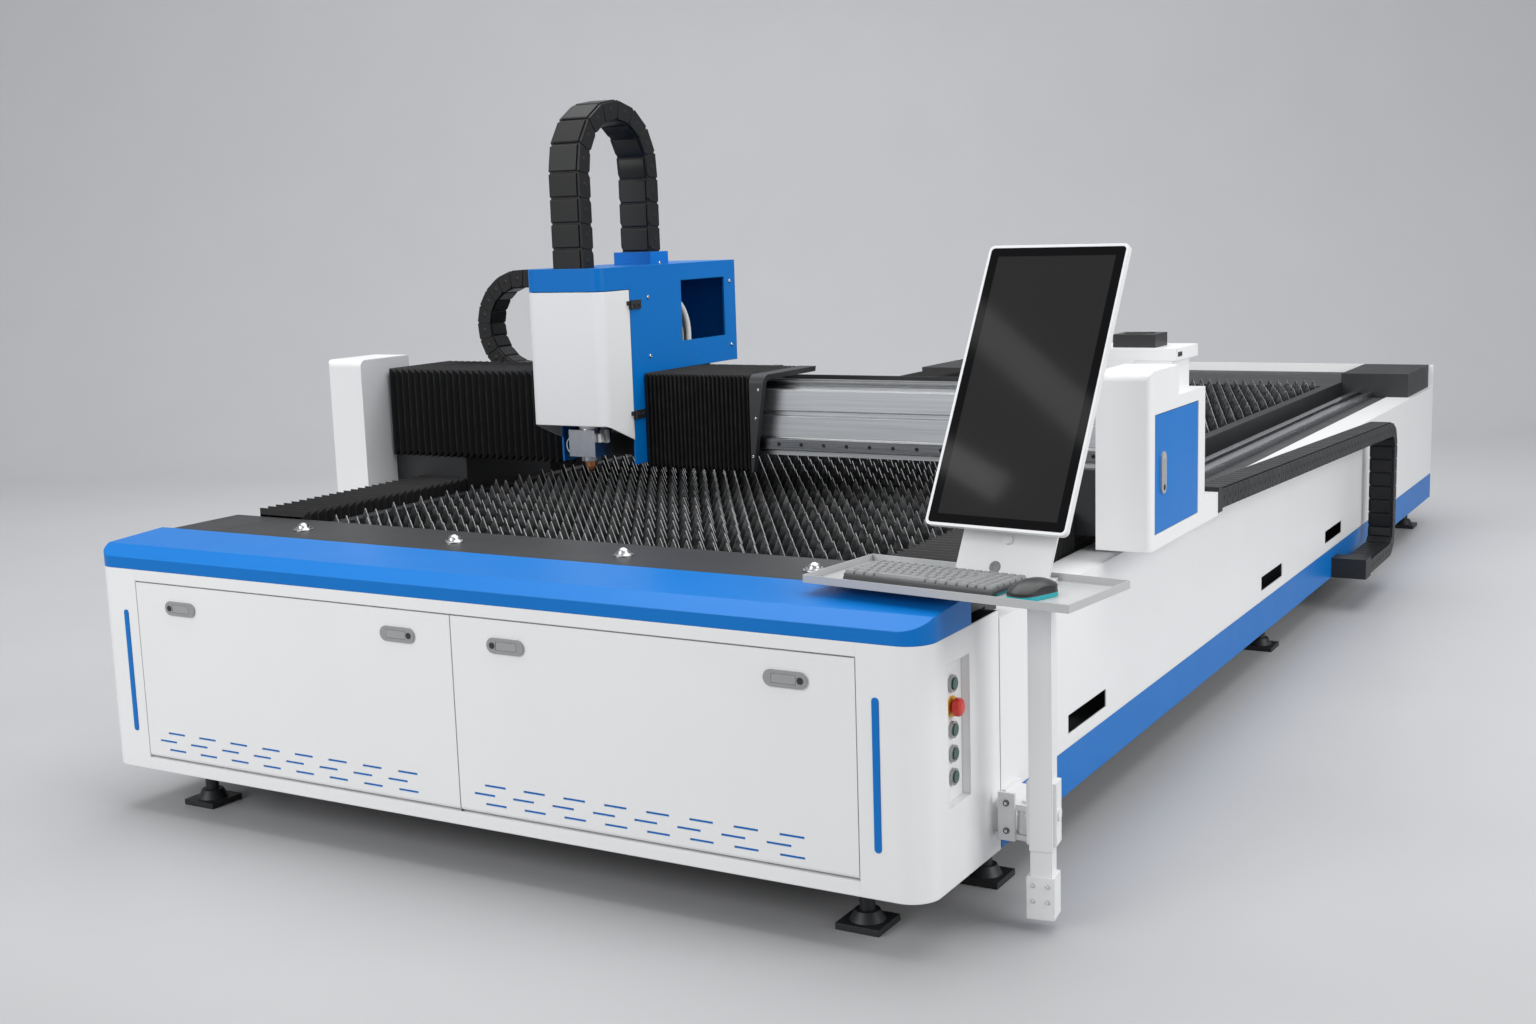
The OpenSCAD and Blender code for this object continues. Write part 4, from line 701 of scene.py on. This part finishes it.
def railSection(push):
    r, sheet = railBellows, foldForm["sheet"]
    inner, outer, top, low = r["inner"] - push, r["outer"] + push, r["top"] + push, r["low"]
    return [(outer, low), (outer, top), (inner, top), (inner, low + r["hem"]), (inner + sheet, low + r["hem"]),
            (inner + sheet, top - sheet), (outer - sheet, top - sheet), (outer - sheet, low)]


def addRailBellows(name, side, y0, y1):
    r = railBellows
    y0, y1 = y0 + r["gap"], y1 - r["gap"]

    def section(push):
        loop = railSection(push)
        return loop if side < 0 else loop[::-1]
    rings = pleats(round((y1 - y0) / r["pitch"]), r["fold"])
    piece = sweepSheet(name, rings, section, lambda s, x, z: at(side * x, y0 + (y1 - y0) * s, z))
    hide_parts("y_bellows")
    return piece


saddleFront, saddleBack = ends("gantry_saddles", 1)
tableFront, tableBack, railLevel = railBellows["front"], railBellows["back"], railBellows["level"]
for label, side in (("Left", -1), ("Right", 1)):
    cloth = addRailBellows("railBellowsFront" + label, side, tableFront, saddleFront)
    at(side, saddleFront, railLevel)
    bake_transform(cloth)
cloth = addRailBellows("railBellowsRear", -1, saddleBack, tableBack)
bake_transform(cloth)
print("rail bellows sewn")


# Drag chains: links along a track of straights and bends, each given as (length, degrees)
def trackPoint(parts, start, heading, s):
    spot, turn = Vector(start), math.radians(heading)
    for run, bend in parts:
        step = min(s, run)
        if bend == 0:
            spot = spot + step * Vector((math.cos(turn), math.sin(turn)))
        else:
            radius = run / math.radians(bend)
            after = turn + step / radius
            spot = spot + radius * Vector((math.sin(after) - math.sin(turn), math.cos(turn) - math.cos(after)))
            turn = after
        s -= step
        if s <= 1e-9:
            break
    return spot, turn


# One link: (along, across, up), two side plates with slanting laps, two lids, a dark core and hinge pins
linkLook = {"plate": 0.007, "gap": 0.045, "slant": 0.10, "corner": 0.08, "rounding": (0.4, 1.4, 1.6), "drop": 0.0034,
            "groove": 0.0020, "lidDepth": 0.006, "lidBevel": 0.022, "lidEdge": 0.002, "core": 0.005,
            "coreInset": 0.003, "pin": 0.14, "pinTaper": 0.75, "pinUp": 0.0010, "pinSides": 14, "sharp": 30}


def addPrism(points, faces, low, high, v0, v1):
    faces += tubeFaces(len(points), 2, len(low))
    points += [(u, v0, n) for u, n in low]
    points += [(u, v1, n) for u, n in high]


def linkForm(pitch, width, height):
    look = linkLook
    points, faces = [], []
    half = height / 2
    end, slant, cut = (0.5 - look["gap"]) * pitch, look["slant"] * pitch, look["corner"] * pitch
    small, middle, large = (share * cut for share in look["rounding"])
    rim = half - look["drop"]
    plate = [(-end - slant + cut, -rim), (end - slant - cut, -rim), (end - slant + small, -rim + cut),
             (end + slant - cut, rim - middle), (end + slant - large, rim), (-end + slant - cut, rim),
             (-end + slant - large, rim - cut), (-end - slant, -rim + middle)]
    deep = half - look["core"]
    core = [(-0.5 * pitch, -deep), (0.5 * pitch, -deep), (0.5 * pitch, deep), (-0.5 * pitch, deep)]
    turns = [2 * math.pi * k / look["pinSides"] for k in range(look["pinSides"])]
    pin = [(look["pin"] * height * math.cos(t), look["pin"] * height * math.sin(t)) for t in turns]
    tip = [(look["pinTaper"] * u, look["pinTaper"] * n) for u, n in pin]
    wall = width / 2 - look["pinUp"]
    bevel, lidTop, lidLow = 2 * look["lidBevel"] * pitch, half - look["lidEdge"], half - look["lidDepth"]
    reach = wall - look["plate"] - look["groove"]
    for side in (-1, 1):
        addPrism(points, faces, plate, plate, *sorted((side * wall, side * (wall - look["plate"]))))
        if side > 0:
            addPrism(points, faces, pin, tip, wall, width / 2)
        else:
            addPrism(points, faces, tip, pin, -width / 2, -wall)
        lid = [(-end, lidTop), (-end + bevel, half), (end - bevel, half), (end, lidTop), (end, lidLow), (-end, lidLow)]
        lid = [(u, side * n) for u, n in lid]
        lid = lid[::-1] if side > 0 else lid
        addPrism(points, faces, lid, lid, -reach, reach)
    addPrism(points, faces, core, core, -wall + look["coreInset"], wall - look["coreInset"])
    return points, faces


def addChain(name, node, chain, toSpot):
    parts, total = chain["parts"], sum(run for run, bend in chain["parts"])
    count = round(total / chain["pitch"])
    pitch = total / count
    form, formFaces = linkForm(pitch, chain["width"], chain["height"])
    runs = {}
    for k in range(count):
        s = (k + 0.5) * pitch
        passed, run = 0, 0
        while passed + parts[run][0] < s:
            passed += parts[run][0]
            run += 1
        points, faces = runs.setdefault(chain["pieces"][run], ([], []))
        base = len(points)
        for u, v, n in form:
            spot, turn = trackPoint(parts, chain["start"], chain["heading"], min(max(s + u, 0), total))
            points.append(toSpot(spot.x - n * math.sin(turn), spot.y + n * math.cos(turn), v))
        faces += [tuple(base + i for i in face) for face in formFaces]
    made = {}
    for run, (points, faces) in runs.items():
        made[run] = newPiece(name + run, points, faces, "chainPlastic", linkLook["sharp"])
        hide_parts(node)
    return made


# Over the head: up from the cutting head, round and down to the housing
headChain = {"x": -0.305, "frontY": 0.932, "rearY": 1.250, "frontEnd": 1.2853, "rearEnd": 1.3342, "turnZ": 1.552,
             "heading": 90, "pitch": 0.066, "width": 0.100, "height": 0.054, "pieces": ["Front", "Bend", "Rear"]}
frontEnd, rearEnd, turnZ = headChain["frontEnd"], headChain["rearEnd"], headChain["turnZ"]
headBend = (headChain["rearY"] - headChain["frontY"]) / 2
headChain["start"] = (headChain["frontY"], frontEnd)
headChain["parts"] = [(turnZ - frontEnd, 0), (math.pi * headBend, -180), (turnZ - rearEnd, 0)]
made = addChain("headChain", "z_chain", headChain, lambda y, z, v: at(headChain["x"] + v, y, z))
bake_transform(made["Front"])
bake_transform(made["Bend"])
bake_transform(made["Rear"])

# Behind the beam: left along the tray, round and back to the head
beamChain = {"y": 1.472, "lowZ": 0.9745, "highZ": 1.258, "lowEnd": 0.0403, "highEnd": 0.4423, "turnX": 0.880,
             "heading": 180, "pitch": 0.046, "width": 0.080, "height": 0.054, "pieces": ["Low", "Bend", "High"]}
lowEnd, highEnd, turnX = beamChain["lowEnd"], beamChain["highEnd"], beamChain["turnX"]
beamBend = (beamChain["highZ"] - beamChain["lowZ"]) / 2
beamChain["start"] = (-lowEnd, beamChain["lowZ"])
beamChain["parts"] = [(turnX - lowEnd, 0), (math.pi * beamBend, -180), (turnX - highEnd, 0)]
made = addChain("beamChain", "x_chain", beamChain, lambda x, z, v: at(x, beamChain["y"] + v, z))
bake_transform(made["Low"])
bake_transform(made["Bend"])
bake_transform(made["High"])

# Beside the bed: the upper run sags towards its bend, the lower one ends at the anchor
longChain = {"x": 1.197, "first": 1.552, "last": 3.760, "rise": 0.672, "drop": 0.080, "bend": 0.070, "anchor": 3.420,
             "low": 0.150, "near": 0.350, "gap": 0.0003, "pitch": 0.050, "width": 0.090, "height": 0.054,
             "pieces": ["Near", "High", "Bend", "Bend", "Bend", "Low"]}
first, last, anchor, near, bend = (longChain[key] for key in ("first", "last", "anchor", "near", "bend"))
fall = math.atan(longChain["drop"] / (last - first))
clear = longChain["gap"] + longChain["height"] / 2 * math.sin(fall)  # the sloping end stays clear of its bracket
slope = (last - first - clear) / math.cos(fall)
upright = longChain["rise"] - longChain["drop"] - longChain["low"] - bend * (1 + math.cos(fall))
longChain["start"] = (first + clear, longChain["rise"] - clear * math.tan(fall))
longChain["heading"] = -math.degrees(fall)
longChain["parts"] = [(near, 0), (slope - near, 0), (bend * (math.pi / 2 - fall), math.degrees(fall) - 90),
                      (upright, 0), (bend * math.pi / 2, -90),
                      (last - bend * math.sin(fall) - anchor - longChain["gap"], 0)]
made = addChain("longChain", "y_chain", longChain, lambda y, z, v: at(longChain["x"] + v, y, z))
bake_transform(made["Near"])
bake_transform(made["High"])
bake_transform(made["Bend"])
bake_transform(made["Low"])
print("drag chains linked")

# Slats: sawtooth strips with blunt tips
slatForm = {"first": 0.480, "pitch": 0.110, "count": 38, "tooth": 0.036, "height": 0.045, "thick": 0.003,
            "flat": 0.0014, "sharp": 10}


def addSlats(look):
    low, high = (Vector(p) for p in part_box("slats"))
    teeth = round((high.x - low.x) / look["tooth"])
    step = (high.x - low.x) / teeth
    root, tip = high.z - look["height"], look["flat"] / 2
    profile = []
    for k in range(teeth):
        x = low.x + k * step
        profile += [(x, root), (x + step / 2 - tip, high.z), (x + step / 2 + tip, high.z)]
    profile.append((high.x, root))
    n = len(profile)
    points, faces, cut = [], [], []
    for i in range(look["count"]):
        y = frontY + look["first"] + i * look["pitch"]
        front = len(points)
        back = front + 2 * n
        for face in (-1, 1):
            points += [(x, y + face * look["thick"] / 2, z) for x, z in profile]
            points += [(x, y + face * look["thick"] / 2, low.z) for x, z in profile]
        for k in range(n - 1):
            faces.append((front + n + k, front + n + k + 1, front + k + 1, front + k))
            faces.append((back + k, back + k + 1, back + n + k + 1, back + n + k))
            cut.append(len(faces))
            faces.append((front + k, front + k + 1, back + k + 1, back + k))
            faces.append((back + n + k, back + n + k + 1, front + n + k + 1, front + n + k))
        for k in (0, n - 1):
            quad = (front + k, back + k, back + n + k, front + n + k)
            faces.append(quad if k == 0 else quad[::-1])
    piece = newPiece("sawSlats", points, faces, "slatSteel", look["sharp"])
    piece.data.materials.append(finishes["slatEdge"])  # the cut edges
    for face in cut:
        piece.data.polygons[face].material_index = 1
    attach(piece, "bed")
    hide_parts("slats")


addSlats(slatForm)
print("slats cut")

# Where the console stands: its hinge pin, its turn at rest, and the clamp block on its column
consolePlace = {"pin": (1.190, 0.335), "turn": -7, "column": (0.067, -0.054), "columnTurn": 15}


def turned(middle, degrees, x, y):
    c, s = math.cos(math.radians(degrees)), math.sin(math.radians(degrees))
    return middle[0] + c * x - s * y, middle[1] + s * x + c * y


def onConsole(x, y, z):
    return at(*turned(consolePlace["pin"], consolePlace["turn"], x, y), z)


def onColumn(x, y, z):
    return onConsole(*turned(consolePlace["column"], consolePlace["columnTurn"], x, y), z)


# Socket screws that stand on a face: rings of (share of the radius, share of the height)
screwForm = {"sides": 12, "rings": [(1.0, 0.0), (1.0, 0.5), (0.86, 0.85), (0.62, 1.0), (0.52, 1.0), (0.48, 0.45)],
             "sharp": 40}
toRight, toFront = (1, 0, 0), (0, -1, 0)
columnOut = onColumn(0, -1, 0) - onColumn(0, 0, 0)
pinX, pinY = consolePlace["pin"]
screwLooks = {
    "housingScrews": {"body": "carriage", "finish": "brightSteel", "slot": "bright_steel", "out": toRight,
                      "radius": 0.0055, "height": 0.0035,
                      "spots": [at(-0.198, 1.115, 1.057), at(-0.198, 1.115, 1.215), at(-0.198, 1.540, 1.057),
                                at(-0.198, 1.540, 1.240), at(-0.245, 1.250, 1.302)]},
    "endPlateScrews": {"body": "carriage", "finish": "brightSteel", "slot": "bright_steel", "out": toFront,
                       "radius": 0.004, "height": 0.0018,
                       "spots": [at(x, endPlate["front"], z)
                                 for x, z in ((0.160, 0.975), (0.150, 0.900), (0.139, 0.800))]},
    "columnScrews": {"body": "console", "finish": "brightSteel", "slot": "bright_steel", "out": columnOut,
                     "radius": 0.0048, "height": 0.0026,
                     "spots": [onColumn(x, -0.028, z) for x in (-0.015, 0.015) for z in (0.065, 0.097)]},
    "bracketBolts": {"body": "bed", "finish": "blackPlastic", "slot": "dark_paint", "out": toFront,
                     "radius": 0.0068, "height": 0.0046,
                     "spots": [at(pinX - 0.033, pinY - 0.026, z) for z in (0.177, 0.235)]},
    "standCableBush": {"body": "console", "finish": "greyPlastic", "slot": "grey_plastic",
                       "out": (-0.109, -0.884, 0.454), "radius": 0.0125, "height": 0.0022,
                       "spots": [at(1.1394, 0.3069, 0.7187)]},
    # flat black discs 0.2 mm high over the rail's bolt holes: the dark bolts, and painted shade inside the holes
    "beamRailBoltsAndHoleShade": {"body": "gantry", "finish": "blackPlastic", "slot": "dark_paint", "out": toFront,
                      "radius": 0.0055, "height": 0.0002,
                      "spots": [at(0.066 * k, 1.110, 0.831) for k in range(-16, 17)]},
}


def addScrews(name, look):
    points, faces = [], []
    sides, rings = screwForm["sides"], screwForm["rings"]
    out = Vector(look["out"]).normalized()
    side = out.orthogonal().normalized()
    other = out.cross(side)
    for spot in look["spots"]:
        faces += tubeFaces(len(points), len(rings), sides)
        for share, up in rings:
            for k in range(sides):
                turn = 2 * math.pi * k / sides
                reach = share * look["radius"] * (math.cos(turn) * side + math.sin(turn) * other)
                points.append(spot + reach + up * look["height"] * out)
    piece = newPiece(name, points, faces, look["finish"], screwForm["sharp"])
    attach(piece, look["body"])


for label, look in screwLooks.items():
    addScrews(label, look)
print("screws set")

blockForm = {"arc": 4, "leastRound": 0.0002, "sharp": 40}


# Stepped blocks with rounded corners: rings of (inset, height) over a rectangle
def addBlocks(name, body, finish, blocks, arc=blockForm["arc"]):
    points, faces = [], []
    for toSpot, (x0, x1, y0, y1), radius, rings in blocks:
        faces += tubeFaces(len(points), len(rings), 4 * (arc + 1))
        for inset, z in rings:
            r = max(radius - inset, blockForm["leastRound"])
            for q, (x, y) in enumerate(((x1, y1), (x0, y1), (x0, y0), (x1, y0))):
                cx = x - math.copysign(inset + r, x - (x0 + x1) / 2)
                cy = y - math.copysign(inset + r, y - (y0 + y1) / 2)
                for k in range(arc + 1):
                    turn = math.pi / 2 * (q + k / arc)
                    points.append(toSpot(cx + r * math.cos(turn), cy + r * math.sin(turn), z))
    piece = newPiece(name, points, faces, finish, blockForm["sharp"])
    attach(piece, body)
    return piece


# Keyboard: a flat case on a turquoise base, and rows of dished keys, front row first
keyboardLook = {
    "place": (-0.124, -0.132), "turn": -1.0, "table": 0.700,
    "case": (-0.175, 0.175, -0.070, 0.068), "caseTop": 0.012, "caseRound": 0.008,
    "caseEdge": [(0.0, -0.002), (0.0007, -0.0006), (0.0025, 0.0)],  # inset, height over the case's top
    "seat": 0.0046, "lip": 0.009, "lipRound": 0.004, "lipShort": 0.004, "lipRim": [(0.0008, 0.0), (0.0, 0.0006)],
    "baseRound": 0.006, "baseGap": 0.0002, "baseRim": [(0.002, 0.0), (0.0006, 0.0006)],
    "unit": 0.019, "left": -0.171, "front": -0.0665, "rowStep": 0.022, "keyGap": 0.0022, "lastShort": 0.004,
    "keyTop": 0.019, "keyRound": 0.0022, "keyArc": 2, "keyFoot": [(0.0, -0.0005), (0.0, 0.0015)],
    "keyDish": [(0.0012, -0.0008), (0.0022, 0.0), (0.0040, -0.0005)],  # inset, height over the key's top
    "rows": [[1.25, 1.25, 1.25, 6.25, 1.25, 1.25, 1.25, 1.25, 1, 1, 1],
             [2.25] + [1] * 10 + [2.75] + [1] * 3,
             [1.75] + [1] * 11 + [2.25] + [1] * 3,
             [1.5] + [1] * 12 + [1.5] + [1] * 3,
             [1] * 13 + [2] + [1] * 3,
             [1] * 18],
}


def addKeyboard(look):
    def spot(x, y, z):
        return onConsole(*turned(look["place"], look["turn"], x, y), look["table"] + z)

    def lifted(rings, level):
        return [(inset, level + z) for inset, z in rings]
    x0, x1, y0, y1 = look["case"]
    seat, lip, top, gap = look["seat"], y0 + look["lip"], look["caseTop"], look["keyGap"]
    caseRings = [(0.0, seat)] + lifted(look["caseEdge"], top)
    lipRings = look["lipRim"] + [(look["lipRim"][-1][0], seat)]
    baseRings = look["baseRim"] + [(look["baseRim"][-1][0], seat)]
    case = addBlocks("keyboardCase", "console", "keyboardGrey",
                     [(spot, look["case"], look["caseRound"], caseRings),
                      (spot, (x0, x1 - look["lipShort"], y0, lip), look["lipRound"], lipRings)])
    base = addBlocks("keyboardBase", "console", "turquoisePlastic",
                     [(spot, (x0, x1, lip + look["baseGap"], y1), look["baseRound"], baseRings)])
    keys = []
    keyRings = lifted(look["keyFoot"], top) + lifted(look["keyDish"], look["keyTop"])
    for row, widths in enumerate(look["rows"]):
        x = look["left"]
        keyFront = look["front"] + row * look["rowStep"]
        keyBack = keyFront + look["rowStep"] - gap
        if widths is look["rows"][-1]:
            keyBack -= look["lastShort"]
        for width in widths:
            reach = width * look["unit"]
            keys.append((spot, (x, x + reach - gap, keyFront, keyBack), look["keyRound"], keyRings))
            x += reach
    tops = addBlocks("keyboardKeys", "console", "keyTops", keys, look["keyArc"])
    for piece in (case, base, tops):
        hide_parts("keyboard")


addKeyboard(keyboardLook)
print("keyboard made")

# Connectors on the cutting head's right side, and a thin black patch on the lid over the motor, painted shade standing
# for its dark slot
connectorLook = {"x": -0.268, "boxes": [(0.950, 0.966, 0.838, 0.862), (0.978, 0.992, 0.834, 0.870)], "round": 0.003,
                 "rings": [(0.0015, 0.0), (0.0, 0.001), (0.0, 0.010), (0.0015, 0.012)]}
lidSlotShadeLook = {"x": 1.208, "boxes": [(1.276, 1.308, 1.056, 1.067)], "round": 0.002,
               "rings": [(0.0, 0.0), (0.0, 0.0008), (0.001, 0.0012), (0.003, 0.0004)]}


# Blocks that stand out to the right of a face
def sideBlocks(look):
    return [(lambda y, z, out: at(look["x"] + out, y, z), box, look["round"], look["rings"])
            for box in look["boxes"]]


addBlocks("headConnectors", "z_head", "hoseWhite", sideBlocks(connectorLook))
# painted shade: a black patch barely 1 mm high where the lid's slot lies in shadow
addBlocks("lidSlotShade", "gantry", "blackPlastic", sideBlocks(lidSlotShadeLook))
print("small fittings made")

# Studio: a pale floor that curves up behind the machine, painted paler away from the camera's stand as painted light
studioLook = {"color": (0.40, 0.402, 0.409), "paintedLightFarColor": (0.67, 0.674, 0.69), "paintedLightSpan": (2.0, 9.0), "rough": 0.45,
              "shade": 0.02, "scale": 120.0, "spread": 0.05, "reach": 10.5, "curve": 3.0, "steps": 24, "wall": 12.0,
              "near": -40.0, "halfWidth": 60.0, "sharp": 60}


def addStudio(given):
    material, tree, shader, look = newMaterial("studioPaper", given)
    turn = math.radians(cameraLook["yaw"])
    ahead = Vector((-math.sin(turn), math.cos(turn), 0))
    across = Vector((math.cos(turn), math.sin(turn), 0))
    stand = at(*cameraLook["place"])
    stand.z = 0
    profile = [(look["near"], 0.0)]
    for k in range(look["steps"] + 1):
        bend = math.pi / 2 * k / look["steps"]
        profile.append((look["reach"] + look["curve"] * math.sin(bend), look["curve"] * (1 - math.cos(bend))))
    profile.append((look["reach"] + look["curve"], look["wall"]))
    points = [stand + ahead * forth + across * side * look["halfWidth"] + Vector((0, 0, up))
              for forth, up in profile for side in (-1, 1)]
    faces = [(2 * k, 2 * k + 1, 2 * k + 3, 2 * k + 2) for k in range(len(profile) - 1)]
    # painted light: floor and backdrop painted paler with distance from the camera's stand
    away = combine(tree, "SUBTRACT", along(tree, ahead), stand.dot(ahead))
    color = mixColor(tree, span(tree, away, *look["paintedLightSpan"]), opaque(look["color"]), opaque(look["paintedLightFarColor"]))
    grain = placeGrain(tree, color, look)
    tree.links.new(grain["Color"], shader.inputs["Base Color"])
    tree.links.new(grain["Roughness"], shader.inputs["Roughness"])
    # clear from behind, for views from the back
    back = tree.nodes.new("ShaderNodeNewGeometry").outputs["Backfacing"]
    tree.links.new(combine(tree, "SUBTRACT", 1, back), shader.inputs["Alpha"])
    finishes["studioPaper"] = material
    floor = newPiece("studioFloor", points, faces, "studioPaper", look["sharp"])
    if floor.data.polygons[0].normal.z < 0:
        floor.data.flip_normals()


addStudio(studioLook)


def newLamp(name, size, power):
    data = bpy.data.lights.new(name, "AREA")
    data.shape = "RECTANGLE"
    data.size, data.size_y = size
    data.energy = power
    lamp = bpy.data.objects.new(name, data)
    bpy.context.scene.collection.objects.link(lamp)
    lamp.visible_camera = False
    return lamp


lampLook = {
    "topLamp": {"place": (0.2, 2.0, 5.2), "aim": (0.0, 2.0, 0.6), "size": (6.0, 7.0), "power": 300},
    "frontLamp": {"place": (-2.5, -5.5, 3.6), "aim": (0.0, 0.8, 0.6), "size": (4.0, 3.0), "power": 230},
    "sideLamp": {"place": (6.5, 1.0, 3.2), "aim": (0.6, 1.8, 0.6), "size": (4.0, 3.0), "power": 190},
}
for name, look in lampLook.items():
    lamp = newLamp(name, look["size"], look["power"])
    lamp.location = at(*look["place"])
    lamp.rotation_euler = (at(*look["aim"]) - lamp.location).to_track_quat("-Z", "Y").to_euler()

# Two faint strips that the screen mirrors towards the photograph's stand: ends on the screen, width, power
stripLook = {"screen": (1.1686, 0.4071, 1.071), "away": 2.0,
             "strips": [((-0.20, 0.17), (0.20, -0.11), 0.075, 1.2), ((-0.21, -0.13), (0.00, -0.22), 0.060, 0.7)]}


def addStrips(look):
    middle, eye = at(*look["screen"]), at(*cameraLook["place"])
    mirrored = eye - 2 * (eye - middle).dot(screenOut) * screenOut
    for k, (begin, end, width, power) in enumerate(look["strips"]):
        spots = [mirrored + look["away"] * (middle + a * screenAcross + u * screenUp - mirrored)
                 for a, u in (begin, end)]
        reach, centre = spots[1] - spots[0], (spots[0] + spots[1]) / 2
        length = reach.normalized()
        side = (centre - middle).normalized().cross(length).normalized()
        lamp = newLamp("screenStrip%d" % k, (reach.length, look["away"] * width), power)
        facing = Matrix((length, side, length.cross(side))).transposed().to_4x4()
        lamp.matrix_world = Matrix.Translation(centre) @ facing


addStrips(stripLook)

airLook = {"color": (0.80, 0.81, 0.83), "strength": 0.55}
world = bpy.data.worlds.new("studioAir")
bpy.context.scene.world = world
world.use_nodes = True
air = world.node_tree.nodes["Background"]
air.inputs["Color"].default_value = opaque(airLook["color"])
air.inputs["Strength"].default_value = airLook["strength"]
bpy.context.scene.view_settings.view_transform = "Standard"
print("studio lit")
